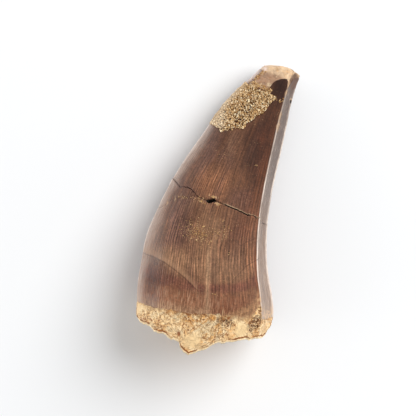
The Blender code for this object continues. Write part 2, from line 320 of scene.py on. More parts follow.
toothCarving = {
    "ridgePitch": ((-11.0, 0.30), (-5.0, 0.35), (-1.5, 0.42), (1.0, 0.54), (9.0, 0.50)),    # by the place across
    "upperRidgePitch": 0.62,     # the ridges run together towards the tip
    "ridgeHeight": ((-18.0, 0.010), (-16.0, 0.018), (-8.0, 0.034), (-1.0, 0.030), (6.0, 0.024),
                    (12.0, 0.010), (23.0, 0.004)),
    "leastRidge": 0.003,
    "ribHeight": 0.05,
    "enamelThickness": 0.14,
    "enamelTaper": 0.07,         # how much thinner it gets towards its lower end
    "keelHeight": 0.09,
    "leftEdgeHeight": 0.06,
    "flakeDepth": 0.07,
    "edgeFlakeDepth": 0.13,
    # half the crack's width, from left to right; the wide stretch is the hole
    "crackWidth": ((-9.8, 0.03), (-7.0, 0.04), (-6.1, 0.03), (-5.8, 0.004), (-5.3, 0.03), (-4.8, 0.03),
                   (-4.3, 0.03), (-3.95, 0.04), (-3.8, 0.18), (-3.55, 0.31), (-3.15, 0.32), (-2.85, 0.27),
                   (-2.6, 0.11), (-2.4, 0.03), (-2.0, 0.02), (-1.7, 0.03), (-1.2, 0.03), (-0.5, 0.075),
                   (0.8, 0.09), (2.9, 0.10), (3.2, 0.03), (3.6, 0.04), (4.25, 0.045), (4.45, 0.02),
                   (6.0, 0.02)),
    "hiddenCrackWidth": 0.045,
    "crackDepth": 0.45,
    "holeDepth": 1.1,
    "notchDepth": 0.15,
    "lipHeight": 0.025,
    "upperHalfDrop": 0.05,       # the half above the crack sits a little lower
    # the old healed branch of the crack, left of the hole
    "branch": ((-10.6, -3.1), (-9.9, -2.4), (-9.4, -1.6), (-8.6, -0.95), (-7.7, -0.55), (-7.2, -0.4),
               (-6.2, 0.05), (-5.4, 0.2)),
    "branchDepth": 0.07,
    "chipDepth": 0.04,
    "hairlineDepth": 0.02,
    "hairlines": {
        "hairlineLeft": ((-11.3, -10.5), (-9.3, -10.6), (-7.4, -10.9), (-5.6, -11.5), (-4.1, -12.1),
                         (-2.6, -12.9), (-1.7, -13.4)),
        "hairlineRight": ((3.5, -10.4), (4.0, -9.3), (4.7, -8.0), (5.4, -7.2), (6.0, -6.6), (6.4, -6.2)),
        "hairlineLow": ((2.4, -4.6), (2.7, -5.0), (3.15, -5.15), (3.6, -4.5), (4.2, -4.0), (4.9, -3.4)),
    },
    # the sand's lower and upper outline, and where the worn tip begins
    "sandLow": ((-7.6, 11.3), (-6.7, 11.5), (-5.8, 11.3), (-5.3, 11.1), (-4.7, 10.8), (-4.2, 11.2),
                (-3.9, 11.2), (-3.2, 11.5), (-3.0, 12.0), (-2.1, 11.9), (-1.6, 12.2), (-1.4, 13.0),
                (-1.1, 13.4), (-0.5, 14.0), (-0.3, 14.7), (0.6, 15.3), (1.0, 16.3), (1.3, 17.3),
                (1.95, 18.2), (2.0, 22.0)),
    "sandHigh": ((-7.6, 19.4), (-3.4, 19.4), (-2.8, 19.5), (-1.5, 19.3), (-0.8, 19.0), (0.3, 18.9),
                 (1.0, 18.8), (1.9, 18.65)),
    # how far the sand reaches down the left side, in turns, from its lower end to its upper end
    "sandFar": ((10.8, 0.03), (11.6, 0.07), (12.6, 0.2), (13.8, 0.27), (14.8, 0.15), (15.6, 0.11),
                (16.6, 0.25), (17.4, 0.24), (18.4, 0.08), (19.4, 0.04)),
    "turnLength": 5.0,           # a turn there, in millimetres
    "sandDepth": 0.3,
    "wornTip": ((-2.6, 19.7), (-1.5, 19.3), (0.1, 18.9), (0.3, 18.9), (0.45, 19.5), (0.75, 20.4), (1.1, 20.95),
                (1.66, 21.35), (2.2, 21.6), (2.75, 21.65), (3.0, 21.35), (3.08, 20.9), (3.12, 20.3), (3.2, 20.1),
                (3.36, 20.6), (3.5, 21.5), (3.7, 22.1), (4.4, 22.5)),
    "hiddenWornTip": 22.3,
    "leftWornTip": 22.1,
    "wornDepth": 0.12,
    "tipRounding": 0.13,
    "ochreTip": ((-1.0, 22.25), (0.6, 22.2), (1.4, 22.2), (2.0, 22.1), (2.7, 21.7), (3.0, 21.0), (3.27, 20.5),
                 (3.45, 21.4), (3.7, 22.0), (4.2, 22.5), (4.8, 22.7)),
    # how strong the pale and dark lines along the enamel are
    "striae": ((-18.0, 0.2), (-14.0, 0.3), (-12.4, 0.8), (-11.0, 1.0), (-3.0, 1.0), (-1.0, 0.7), (3.0, 0.75),
               (7.0, 0.4), (12.0, 0.22), (23.0, 0.2)),
    # the darker line above the paler low band, and the curve that cuts off the pale lower right corner
    "lowBand": ((-11.2, -13.0), (-8.2, -13.4), (-5.0, -13.3), (-1.8, -13.0), (-0.5, -13.1), (0.8, -12.6),
                (2.7, -11.9), (4.9, -11.1), (6.5, -10.0), (9.4, -9.0)),
    "cornerCurve": ((-17.0, 2.4), (-16.0, 3.6), (-15.0, 4.9), (-14.2, 6.0), (-13.1, 7.1), (-11.8, 7.8),
                    (-10.3, 7.5)),
    "pitDepth": 0.12,
    "foldDepth": 0.07,
    "rootStep": 0.28,            # the left of the root's edge is broken off lower
    # what the broken root face and the tip's end don't carry on from the sides
    "absentOnEnds": ("groove", "rib", "pit", "plain", "flake", "chip", "spongy", "fold", "golden", "stain",
                     "crackStain"),
}

# soft round marks: centre, half size, and then turn in degrees and strength where they aren't 0 and 1
toothMarks = {
    "strongRidges": ((-4.2, 4.8, 2.2, 3.2, 0, 1.3),),
    "flake": ((3.45, 14.2, 0.25, 0.9), (3.3, 16.0, 0.2, 0.7), (4.5, 18.9, 0.5, 0.35), (3.2, 19.6, 0.2, 0.6)),
    "edgeFlake": ((0.6, -4.0, 0.7, 1.9),),    # placed by the distance round the tooth
    "notch": ((4.55, 18.7, 0.4, 0.22),),
    "chips": ((-3.1, 0.9, 0.9, 0.25), (-4.6, -0.35, 0.5, 0.3, 0, 0.7), (-2.2, 0.0, 0.5, 0.25)),
    "fewerLines": ((-1.9, -3.2, 2.2, 2.8, 0, -0.65), (-7.5, -9.7, 2.6, 0.9, 0, -0.5)),
    "moreLines": ((-3.8, 3.6, 2.2, 2.6), (-7.8, -5.0, 2.6, 5.0, 0, 0.45)),
    # painted shade on the lower left shoulder
    "shoulderDeep": ((-8.4, -15.0, 1.5, 1.9, 0, 0.9),),
    "shoulderDull": ((-8.3, -14.6, 1.6, 2.2),),
    "dusty": ((-3.9, -5.0, 2.1, 1.5), (-0.1, -4.2, 1.0, 1.1), (-3.4, 8.2, 2.6, 2.4, 0, 0.4)),
    "softEnd": ((6.5, -15.5, 1.8, 1.5),),
    # painted highlight at the tip's left corner
    "tipCorner": ((-1.15, 22.4, 0.4, 0.4),),
    "facet": ((4.0, 21.75, 0.8, 1.35),),
    "golden": ((-0.5, -17.6, 4.5, 0.9, 8, 1), (2.6, -19.0, 1.6, 1.4)),
    "spongy": ((4.2, -16.85, 1.4, 0.75), (8.5, -15.9, 0.8, 1.5, -18, 1)),
    "plain": ((-0.1, -21.2, 1.5, 1.4), (6.7, -17.4, 1.0, 1.3), (-9.2, -18.9, 0.7, 0.8, 0, 0.6)),
    "stain": ((-2.4, -20.7, 0.45, 0.6), (4.8, -16.1, 0.6, 0.4), (-1.0, -22.7, 0.6, 0.25),
              (-8.2, -20.2, 0.35, 0.35), (-1.8, 20.6, 0.35, 0.4), (-7.4, -19.6, 0.3, 0.25),
              (3.4, 20.9, 0.15, 0.3)),
}

# regions of colour on the enamel, as soft round marks
toothRegions = {
    "darkRegion": (
        (1.3, 9.6, 2.1, 3.4, 5, 1.0), (0.9, 12.8, 1.6, 2.2, 0, 0.6), (-2.4, 9.0, 1.6, 2.4, 10, 0.2),
        (-4.5, 9.7, 1.4, 2.0, 20, 0.85), (-8.1, -2.5, 1.0, 3.0, 4, 0.35), (-4.4, 7.4, 1.8, 1.8, 0, 0.45),
        (-7.0, -1.2, 1.7, 2.4, 0, 0.4), (0.7, 2.0, 2.0, 1.1, -6, 0.4), (0.8, -2.6, 2.2, 1.6, 0, 0.25),
        (3.3, -3.5, 1.2, 6.0, 6, 0.35), (-6.6, 0.9, 1.2, 0.9, 0, 0.4), (2.4, 8.0, 0.7, 1.6, 0, 0.4),
        (-7.9, -14.9, 1.5, 1.9, 8, 0.35), (-5.9, 9.6, 0.8, 1.6, 20, 0.5), (0.4, 9.4, 1.6, 3.2, 5, 0.5),
        (2.2, 17.8, 1.0, 1.3, 0, 0.7), (2.1, 20.2, 1.2, 1.6, 0, 1.0),
    ),
    "tipDark": (
        (2.0, 20.3, 1.5, 1.5, 0, 1.0),
    ),
    "purpleRegion": (
        (-6.0, 8.0, 1.7, 2.9, 18, 0.9), (-7.2, -2.6, 1.5, 3.4, 6, 1.0), (-6.6, -6.6, 1.3, 3.2, 6, 0.7),
        (-7.8, -12.4, 2.4, 1.5, 0, 0.25), (-6.3, -16.3, 2.2, 1.1, 10, 0.9), (-8.4, 2.4, 0.9, 1.6, 20, 0.6),
        (-9.5, -15.0, 1.2, 2.0, 0, 0.2), (1.2, 0.9, 2.2, 1.3, -8, 0.8), (-6.6, -1.2, 2.0, 1.2, 0, 0.6),
        (-4.2, 7.0, 1.4, 1.4, 0, 0.5), (-2.0, 6.8, 1.4, 1.2, 0, 0.4), (-6.4, 4.2, 1.2, 1.4, 20, 0.7),
        (1.4, 2.6, 1.6, 1.0, 0, 0.6), (2.0, -3.2, 2.2, 2.0, 0, 0.6), (2.4, -8.4, 1.3, 1.6, 0, 0.35),
        (-8.0, -4.0, 0.9, 2.6, 6, 0.5), (-2.6, 8.8, 0.8, 3.4, 5, 0.7), (-5.6, -7.4, 2.2, 3.0, 8, 0.45),
        (2.8, -8.0, 2.2, 2.6, 0, 0.4), (2.6, 3.4, 1.6, 2.4, 0, 0.5), (-1.9, 21.0, 0.6, 1.6, -28, 1.0),
    ),
    "redRegion": (
        (3.4, -13.7, 2.8, 1.5, 4, 0.8), (-4.8, -13.7, 3.2, 0.8, -6, 0.5), (2.7, 7.6, 0.9, 5.5, 6, 0.85),
        (1.6, 12.4, 1.4, 1.0, 20, 0.4), (3.0, 0.6, 1.4, 3.4, 0, 0.45), (2.6, -3.0, 1.8, 2.0, 0, 0.35),
        (-8.0, -14.2, 2.0, 2.0, 0, 1.0), (-6.0, -14.3, 2.2, 0.8, -4, 0.5), (2.4, -15.6, 2.8, 1.2, 5, 1.0),
        (6.0, -14.4, 1.4, 2.2, 10, 0.5),
    ),
    "warmRegion": (
        (-4.8, 2.6, 1.5, 1.7, 14, 0.6), (-2.2, 3.2, 1.7, 2.8, 6, 0.55), (3.1, 5.0, 0.8, 6.0, 6, 0.45),
        (0.8, 5.0, 1.2, 1.8, 0, 0.35), (5.9, -10.5, 1.2, 4.0, 12, 0.4), (-2.4, -4.6, 1.8, 1.8, 0, 0.3),
    ),
    "paleRegion": (
        (-2.4, -6.4, 2.0, 3.2, 0, 0.5), (-0.2, -10.0, 2.4, 2.4, 0, 0.75), (3.4, -9.0, 2.4, 2.4, 0, 0.6),
        (-4.6, -9.8, 2.4, 1.1, -14, 0.7), (-8.2, -9.8, 2.8, 0.9, -4, 0.9), (-2.4, -2.6, 2.2, 1.6, -15, 0.5),
        (-2.7, 9.4, 0.6, 2.2, 8, 0.35), (-5.2, -0.9, 2.6, 0.5, 8, 0.4), (-4.0, -16.6, 4.5, 0.9, 8, 0.7),
        (0.4, -15.9, 1.2, 1.2, 0, 0.5), (7.9, -13.9, 0.9, 1.4, 15, 0.8), (-9.9, -16.8, 0.7, 1.2, 0, 0.6),
        (-2.0, -16.4, 3.0, 0.5, 5, 0.6), (-0.3, -7.5, 0.45, 4.5, 18, 0.8), (-5.6, -11.0, 2.6, 0.6, -16, 0.6),
    ),
}

farOff = 9.0    # a distance, in millimetres, that no line's colour reaches


def marks(x, y, spots, start=0):
    total = start
    for centreX, centreY, width, length, *rest in spots:
        turned, much = rest or (0, 1)
        c, s = math.cos(math.radians(turned)), math.sin(math.radians(turned))
        dx, dy = x - centreX, y - centreY
        total = total + much * np.exp(-(((dx * c + dy * s) / width) ** 2 + ((dy * c - dx * s) / length) ** 2))
    return total


def gridNormals(points):
    around = np.roll(points, -1, axis=1) - np.roll(points, 1, axis=1)
    lengthwise = np.gradient(points, axis=0)
    normals = np.cross(around, lengthwise)
    return normals / np.maximum(np.linalg.norm(normals, axis=-1, keepdims=True), 1e-9)


def ridges(count, y, seed):    # -1 to 1; count is the place across, in ridges
    wander = 8.0 * noiseGrid(count * 0.12, y * 0.07, seed) + 2.6 * noiseGrid(count * 0.45, y * 0.4, seed + 2.0)
    strength = np.clip(0.75 + 0.9 * noiseGrid(count * 0.4, y * 0.22, seed + 5.0), 0.1, 1.1)
    loose = noiseGrid(count * 1.15, y * 0.13, seed + 9.0)
    wave = np.sin(2 * math.pi * count + wander)
    return 0.8 * strength * (1.25 - 2 * ((1 - wave) / 2) ** 2.2) + 0.45 * loose


def capRings(edge, centre, shares, bulge):
    rings = []
    for share in shares:
        ring = edge + (centre - edge) * share
        ring[:, 1] += bulge * math.sin(math.pi * share)
        rings.append(ring)
    return rings


def isAbove(turn):    # the upper side, and the left flank down to where it turns under
    return (turn <= 3.0) | (turn > toothForm["flankEnd"])


def insideSand(turn, x, y):    # the distance inside the sand's outline
    carving = toothCarving
    uneven = 0.35 * noiseGrid(x * 1.3, 2.0, 17.0) + 0.2 * noiseGrid(x * 3.1, 5.0, 17.0)
    turn = np.mod(turn, 5.0)
    below = np.where(turn > 4.0, turn - 5.0, turn)    # negative under the tooth's widest line
    side = 1 - smoothStep(0.05, 0.3, below)
    high = alongCurve(carving["sandHigh"], x) + uneven * (1 - smoothStep(0.0, 0.8, x))
    high = high + 0.7 * side * noiseGrid(below * 9.0, 4.0, 31.0)
    low = alongCurve(carving["sandLow"], x) + 0.9 * side * noiseGrid(below * 8.0, 1.0, 29.0)
    far = carving["turnLength"] * (below + alongCurve(carving["sandFar"], y))
    far = far + 0.5 * noiseGrid(y * 1.7, below * 6.0, 27.0)
    return np.where(isAbove(turn), np.minimum(np.minimum(y - low, high - y), far), -5.0)


# the points that are carved, in rows along the tooth and columns round it

turn = np.broadcast_to(turns, heights.shape)
base = toothSurface(turn, heights)
normals = gridNormals(base)
x, y, z = base[..., 0], heights, base[..., 2]
across = np.broadcast_to(sectionShape(turns)[0], y.shape)
isUpper = turn <= 3.0
middle = toothSurface(turns, np.full(columnCount, toothForm["middleSection"]))
arc = np.concatenate([[0.0], np.cumsum(np.linalg.norm(np.diff(middle, axis=0), axis=1))])
arcs = np.broadcast_to(arc, y.shape)    # the distance round the middling section
keelArc, rimArc = (arc[sum(toothForm["pointsPerPart"][:parts])] for parts in (2, 3))
enamel = smoothStep(-0.05, 0.03, y - edges["enamelEnd"])


def carveEnamel(move, values):    # its lower end, its ridges, and a low pale rib up the middle
    carving = toothCarving
    aboveEnd = y - edges["enamelEnd"]
    values["aboveEnd"] = aboveEnd
    taper = carving["enamelTaper"] * (1 - smoothStep(0.0, 1.3, aboveEnd)) * enamel
    move -= carving["enamelThickness"] * (1 - enamel) + taper
    lowerCount = np.cumsum(np.gradient(arc) / alongCurve(carving["ridgePitch"], middle[:, 0]))
    ridge = mix(ridges(np.broadcast_to(lowerCount, y.shape), y, 2.0),
                ridges(arcs / carving["upperRidgePitch"], y, 31.0), smoothStep(-1.0, 10.0, y))
    height = alongCurve(carving["ridgeHeight"], y) * (0.75 + 0.8 * noiseGrid(x * 0.16, y * 0.12, 50.0))
    height *= 1 + marks(x, y, toothMarks["strongRidges"]) * isUpper
    values["ridge"] = ridge * enamel
    move += np.maximum(height, carving["leastRidge"]) * ridge * enamel
    ribPlace = mix(1.05, -1.3, (y + 16.5) / 8.5)
    rib = swell(x, ribPlace, 0.34) * smoothStep(-17.2, -16.0, y) * (1 - smoothStep(-8.5, -5.0, y)) * isUpper
    values["rib"] = rib
    move += carving["ribHeight"] * rib


def carveKeel(move, values):    # the sharp rear keel, the blunt one on the left edge, and their flakes
    carving = toothCarving
    keelFade = smoothStep(-15.0, -12.0, y)
    uneven = 1 + 0.6 * noiseGrid(y * 1.7, 0.0, 12.0)
    move += carving["keelHeight"] * swell(arcs, keelArc, 0.16) * keelFade * uneven
    move += carving["leftEdgeHeight"] * swell(arcs, 0.5, 0.35) * smoothStep(-12.0, -6.0, y)
    flake = marks(x, y, toothMarks["flake"])
    flake = smoothStep(0.35, 0.6, flake + 0.25 * noiseGrid(x * 3.0, y * 3.0, z * 3.0)) * isUpper
    edgeFlake = marks(arcs, y, toothMarks["edgeFlake"])
    edgeFlake = smoothStep(0.45, 0.62, edgeFlake + 0.2 * noiseGrid(arcs * 2.0, y * 2.0, 3.3))
    values["flake"] = np.clip(flake + edgeFlake, 0, 1)
    move -= carving["flakeDepth"] * flake + carving["edgeFlakeDepth"] * edgeFlake


def carveCrack(move, values):    # the crack, its hole, and the notch in the strip near the tip
    carving = toothCarving
    gap = y - edges["crack"]
    half = np.where(isUpper, alongCurve(carving["crackWidth"], x), carving["hiddenCrackWidth"])
    groove = (1 - smoothStep(half * 0.8, half * 1.1 + 0.03, np.abs(gap))) * smoothStep(0.0, 0.02, half)
    notch = smoothStep(0.35, 0.7, marks(x, y, toothMarks["notch"])) * isUpper
    groove = np.maximum(groove, notch)
    deep = mix(carving["crackDepth"], carving["holeDepth"], smoothStep(0.12, 0.25, half))
    deep = np.where(notch > 0, carving["notchDepth"], deep)
    # the groove is painted near black below: painted shade, partly a dark filling
    values["groove"] = groove
    values["crackStain"] = swell(gap, 0.0, 0.13) * isUpper * (1 - smoothStep(-6.2, -5.7, x))
    # painted highlight along the crack's upper lip
    values["crackLip"] = (swell(gap - half, 0.055, 0.032) * isUpper * smoothStep(-1.7, -0.9, x)
                          * (1 - smoothStep(4.9, 5.2, x)))
    lip = swell(np.abs(gap) - half, 0.16, 0.12)
    move += carving["lipHeight"] * lip * (1 - groove) - deep * groove
    move -= carving["upperHalfDrop"] * smoothStep(-0.06, 0.06, gap) * (1 - smoothStep(0.3, 5.0, gap))


def carveChips(move, values):    # the healed branch, the chips along it and round the hole, and the hairlines
    carving = toothCarving
    branchGap = np.where(isUpper & (x < -4.0), y - alongCurve(carving["branch"], x), farOff)
    values["branchGap"] = branchGap
    move -= carving["branchDepth"] * swell(branchGap, 0.0, 0.12)
    chip = smoothStep(0.3, 0.45, noiseGrid(x * 3.2, y * 3.2, 6.0)) * swell(branchGap, 0.0, 0.35)
    around = marks(x, y, toothMarks["chips"]) * (0.5 + noiseGrid(x * 3.6, y * 3.6, 16.0))
    chip = np.maximum(chip, smoothStep(0.3, 0.42, around) * isUpper)
    values["chip"] = chip * (1 - values["groove"])
    move -= carving["chipDepth"] * chip
    for name, line in carving["hairlines"].items():
        away = y - alongCurve(line, x)
        outside = np.maximum(line[0][0] - x, x - line[-1][0])
        distance = np.hypot(away, 3.0 * np.maximum(outside, 0.0))
        values[name] = np.where(isUpper, np.where(away < 0, -distance, distance), farOff)
        move -= carving["hairlineDepth"] * swell(values[name], 0.0, 0.12)


def markColours(values):    # where the finish changes; the borders are uneven
    carving = toothCarving
    bentX, bentY = x + 0.9 * noiseGrid(x * 0.5, y * 0.3, 70.0), y + 1.2 * noiseGrid(x * 0.5, y * 0.3, 80.0)
    for name, spots in toothRegions.items():
        values[name] = np.clip(marks(bentX, bentY, spots), 0, 1)
    for name in ("spongy", "dusty", "softEnd"):
        values[name] = marks(x, y, toothMarks[name])
    for name in ("tipCorner", "shoulderDull"):
        values[name] = marks(x, y, toothMarks[name]) * isUpper
    values["golden"] = np.clip(marks(x, y, toothMarks["golden"]), 0, 1)
    values["stain"] = marks(bentX, bentY, toothMarks["stain"]) * isUpper
    facet = marks(x, y, toothMarks["facet"]) + 0.2 * noiseGrid(x * 2.5, y * 2.5, z)
    values["facet"] = smoothStep(0.3, 0.55, facet) * isUpper

    # the pale lower end, the low band and the pale corner beside it
    values["endPale"] = smoothStep(1.7, 0.1, values["aboveEnd"]) * (1 - smoothStep(0.0, 2.2, bentX)) * isUpper
    smallBend = y + 0.5 * noiseGrid(x * 0.7, y * 0.4, 82.0)
    values["lowBand"] = smallBend - alongCurve(carving["lowBand"], x)
    values["bandPale"] = smoothStep(0.1, -2.6, values["lowBand"]) * mix(1.0, 0.3, smoothStep(-1.0, 4.0, x))
    corner = smoothStep(-0.5, 0.6, x - alongCurve(carving["cornerCurve"], smallBend))
    values["cornerPale"] = corner * (y < -8.0) * isUpper

    # the strip beyond the keel
    values["fromKeel"] = (arcs - keelArc) * mix(1.0, 0.5, smoothStep(-6.0, 18.0, y))
    values["fromRim"] = arcs - rimArc
    values["stripPale"] = smoothStep(8.0, -6.0, y)
    values["rimDim"] = smoothStep(12.5, 17.0, y) + 0.7 * swell(y, 2.0, 2.5)

    # painted light and shade: the enamel is paler along the left edge as a painted reflection, and darker beside it
    # and towards the keel as painted shade
    edgeWidth = 0.08 + 0.05 * noiseGrid(y * 0.5, 4.0, 4.0) + 0.07 * swell(y, 7.5, 4.0)
    edgeWidth += 0.045 * swell(y, -6.0, 5.0)
    values["edgePale"] = 1 - smoothStep(0.0, edgeWidth, across)
    # painted highlight: a pale line along the left outline
    fromLeft = np.minimum(arcs, arc[-1] - arcs)
    leftReach = 2.3 + 2.2 * swell(y, 8.0, 4.0) + 1.1 * swell(y, -6.0, 4.0)
    values["leftLine"] = 1 - smoothStep(0.6, leftReach, fromLeft)
    # painted reflection: a pale band down the tip's left slope
    values["tipBand"] = (1 - smoothStep(0.02, 0.14, across)) * smoothStep(19.4, 20.2, y)
    values["tipBand"] *= 1 - smoothStep(21.9, 22.2, y)
    # painted shade along the shoulder beside the pale left edge
    shoulder = swell(across, 0.12, 0.06) * isUpper * (1 - smoothStep(2.0, 9.0, y))
    shoulder *= mix(0.45, 1.0, smoothStep(-8.0, -12.0, y))
    values["shoulderDeep"] = shoulder + marks(x, y, toothMarks["shoulderDeep"])
    # painted shade: darker towards the keel
    keelX = atStation(3, y)
    values["keelDeep"] = (smoothStep(-5.6, -1.4, bentX - keelX) * (x < keelX + 0.05)
                          * smoothStep(-2.0, 8.0, bentY) * isUpper)

    striae = alongCurve(carving["striae"], y) * (0.85 + 0.7 * noiseGrid(x * 0.4, y * 0.25, 21.0))
    striae *= marks(x, y, toothMarks["fewerLines"], start=1)
    striae += marks(x, y, toothMarks["moreLines"]) * isUpper
    values["striae"] = np.clip(striae, 0, 1.8)
    values["rootEdge"] = y - edges["rootEnd"]
    values["ochre"] = y - alongCurve(carving["ochreTip"], x) + 0.16 * noiseGrid(x * 1.5, y * 1.5, 33.0)


def carveTip(move, values):    # the worn tip and the pocket that the sand fills
    carving = toothCarving
    worn = np.where(isAbove(turn), y - alongCurve(carving["wornTip"], x), y - carving["hiddenWornTip"])
    worn = np.where((across < 0.10) & isAbove(turn), np.minimum(worn, y - carving["leftWornTip"]), worn)
    values["worn"] = worn + 0.10 * noiseGrid(x * 2.2, y * 2.2, z * 2.2)
    move -= carving["wornDepth"] * smoothStep(-0.03, 0.08, values["worn"])
    move -= carving["sandDepth"] * smoothStep(0.2, 0.45, insideSand(turn, x, y))
    rounding = carving["tipRounding"]
    toTip = np.clip(edges["tipEnd"] - y, 0.0, rounding)
    move -= rounding - np.sqrt(np.maximum(rounding ** 2 - (rounding - toTip) ** 2, 0.0))


def carveRoot(move, values):    # lumpy bone with pits, smoother on its plain patches
    carving = toothCarving
    root = 1 - enamel
    plain = smoothStep(0.25, 0.75, marks(x, y, toothMarks["plain"])) * isUpper
    spongy = np.clip(0.35 + values["spongy"], 0, 1.4)
    cells = np.array([noise.voronoi(p)[0][0] for p in (base * 1.9).reshape(-1, 3).tolist()]).reshape(y.shape)
    pit = (1 - smoothStep(0.12, 0.42, cells)) * spongy * (1 - 0.9 * plain) * root
    lumps = 0.17 * noiseGrid(x * 1.1, y * 1.1, z * 1.1) + 0.06 * noiseGrid(x * 2.7, y * 2.7, z * 2.7)
    folds = np.abs(noiseGrid(x * 1.5 + 3.0, y * 1.5, z * 1.5) + 0.5 * noiseGrid(x * 3.4, y * 3.4, z * 3.4))
    fold = 1 - smoothStep(0.02, 0.12, folds)
    values["pit"] = pit
    values["plain"] = plain
    values["fold"] = fold * (1 - plain) * root
    move += root * ((lumps - carving["foldDepth"] * fold) * (1 - 0.8 * plain) - carving["pitDepth"] * pit)
    step = (1 - smoothStep(-1.75, -1.55, x)) * (1 - smoothStep(-20.6, -20.1, y)) * isUpper
    move -= carving["rootStep"] * step


def closeEnds(carved, values):    # rings that close the broken root face and the blunt tip
    form = toothForm
    tipMiddle = carved[-1].mean(axis=0)
    tipMiddle[1] += form["tipBulge"]
    rootCap = np.array(capRings(carved[0], np.array(form["rootDish"]), form["rootCapShares"], 0.6))
    shares = np.array(form["rootCapShares"])[:, None]
    broken = 0
    for rough, often, seed in form["rootBreak"]:
        broken = broken + rough * noiseGrid(rootCap[..., 0] * often, seed, rootCap[..., 2] * often)
    rootCap[..., 1] += broken * smoothStep(0.0, 0.12, shares)
    tipCap = np.array(capRings(carved[-1], tipMiddle, form["tipCapShares"], 0.12))
    tipCap[..., 1] += 0.07 * noiseGrid(tipCap[..., 0] * 1.6, 0.0, tipCap[..., 2] * 1.6)
    rings = np.concatenate([rootCap, carved, tipCap])
    rings[..., 2] = np.maximum(rings[..., 2], 0.0)     # worn flat underneath

    spread = {}
    for name, field in values.items():
        low, high = np.repeat(field[:1], rootCapRows, 0), np.repeat(field[-1:], tipCapRows, 0)
        if name in toothCarving["absentOnEnds"]:
            low, high = 0 * low, 0 * high
        if name == "aboveEnd":
            low = np.full_like(low, -4.0)
        if name == "rootEdge":
            low = low + 4.0 * shares
        if name == "worn":
            high = np.full_like(high, 2.0)
        spread[name] = np.concatenate([low, field, high])
    spread["brokenFace"] = np.concatenate([np.repeat(shares, columnCount, 1), 0 * y, 0 * tipCap[..., 0]])
    return rings, spread


def carveTooth():    # every ring of the tooth, and the values that its finish reads
    move = 0.09 * noiseGrid(x * 0.21, y * 0.15, z * 0.21) + 0.03 * noiseGrid(x * 0.8, y * 0.4, z * 0.8)
    values = {}
    carveEnamel(move, values)
    carveKeel(move, values)
    carveCrack(move, values)
    carveChips(move, values)
    markColours(values)
    carveTip(move, values)
    carveRoot(move, values)
    return closeEnds(base + normals * move[..., None], values)


def makeTooth():
    rings, values = carveTooth()
    tooth = makeBlank()
    blank = readPoints(tooth)
    row = np.rint(blank[:, 1]).astype(int)
    angle = np.arctan2(-blank[:, 0], -blank[:, 2]) / (2 * math.pi)    # 0 underneath, growing to the left
    column = np.rint((angle - angle[0]) * columnCount).astype(int) % columnCount
    tooth.name = "toothBody"
    writePoints(tooth, rings[row, column] * mm)
    for name, field in values.items():
        addFloats(tooth, name, field[row, column])

    # the finish's own map: round the tooth and along it, in millimetres
    uvLayer = tooth.data.uv_layers.new(name="alongTooth")
    corner = np.empty(len(tooth.data.loops), int)
    tooth.data.loops.foreach_get("vertex_index", corner)
    u = arc[column][corner].reshape(-1, 4)
    fullTurn = arc[-1] + toothForm["seamGap"]
    wraps = (u.max(axis=1) - u.min(axis=1)) > fullTurn / 2
    u[wraps] = np.where(u[wraps] < fullTurn / 2, u[wraps] + fullTurn, u[wraps])
    v = rings[row, column, 1][corner]
    uvLayer.data.foreach_set("uv", np.stack([u.ravel(), v], axis=-1).astype(np.float32).ravel())

    # close the ends: fill the small last rings, then merge the crowded points near them
    for last in (0, rowCount - 1):
        selectPoints(tooth, row == last)
        bpy.ops.mesh.edge_face_add()
    selectPoints(tooth, (row < rootCapRows) | (row >= rootCapRows + bodyRows))
    bpy.ops.mesh.remove_doubles(threshold=toothForm["mergeWithin"] * mm)
    bpy.ops.mesh.select_all(action="SELECT")
    bpy.ops.mesh.normals_make_consistent(inside=False)
    bpy.ops.object.mode_set(mode="OBJECT")
    bpy.ops.object.shade_smooth()
    return tooth


tooth = makeTooth()
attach(tooth, "root")
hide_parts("tooth")
triangleCount = sum(len(p.vertices) - 2 for p in tooth.data.polygons)
print("tooth made:", len(tooth.data.vertices), "points,", triangleCount, "triangles")


# shader building

def sRgb(red, green, blue):    # a screen colour, 0 to 255, as the linear colour that a shader takes
    shares = [((v / 255 + 0.055) / 1.055) ** 2.4 if v > 10 else v / 255 / 12.92 for v in (red, green, blue)]
    return (*shares, 1.0)


def feed(tree, socket, value):
    if isinstance(value, bpy.types.NodeSocket):
        tree.links.new(value, socket)
    else:
        socket.default_value = value


def addNode(tree, kind, label="", **settings):
    node = tree.nodes.new(kind)
    node.label = label
    for name, value in settings.items():
        setattr(node, name, value)
    return node


def calculate(tree, operation, first, second=0.0):
    node = addNode(tree, "ShaderNodeMath", operation=operation)
    feed(tree, node.inputs[0], first)
    feed(tree, node.inputs[1], second)
    return node.outputs[0]


def between(tree, value, low, high, toLow=0.0, toHigh=1.0):    # a smooth step from low to high
    node = addNode(tree, "ShaderNodeMapRange", interpolation_type="SMOOTHSTEP")
    for socket, setting in zip(node.inputs, (value, low, high, toLow, toHigh)):
        feed(tree, socket, setting)
    return node.outputs[0]


def layer(tree, under, over, mask, blend="MIX"):
    node = addNode(tree, "ShaderNodeMix", data_type="RGBA", blend_type=blend)
    for index, setting in ((0, mask), (6, under), (7, over)):
        feed(tree, node.inputs[index], setting)
    return node.outputs[2]


def readAttribute(tree, name):
    return addNode(tree, "ShaderNodeAttribute", attribute_name=name).outputs["Fac"]


def stretched(tree, vector, scale, shift=(0.0, 0.0, 0.0)):
    node = addNode(tree, "ShaderNodeMapping")
    feed(tree, node.inputs["Vector"], vector)
    node.inputs["Scale"].default_value = scale
    node.inputs["Location"].default_value = shift
    return node.outputs[0]


def noiseOf(tree, vector, scale, detail=2.0, roughness=0.5, distortion=0.0):
    node = addNode(tree, "ShaderNodeTexNoise")
    feed(tree, node.inputs["Vector"], vector)
    settings = {"Scale": scale, "Detail": detail, "Roughness": roughness, "Distortion": distortion}
    for name, value in settings.items():
        node.inputs[name].default_value = value
    return node.outputs["Fac"]


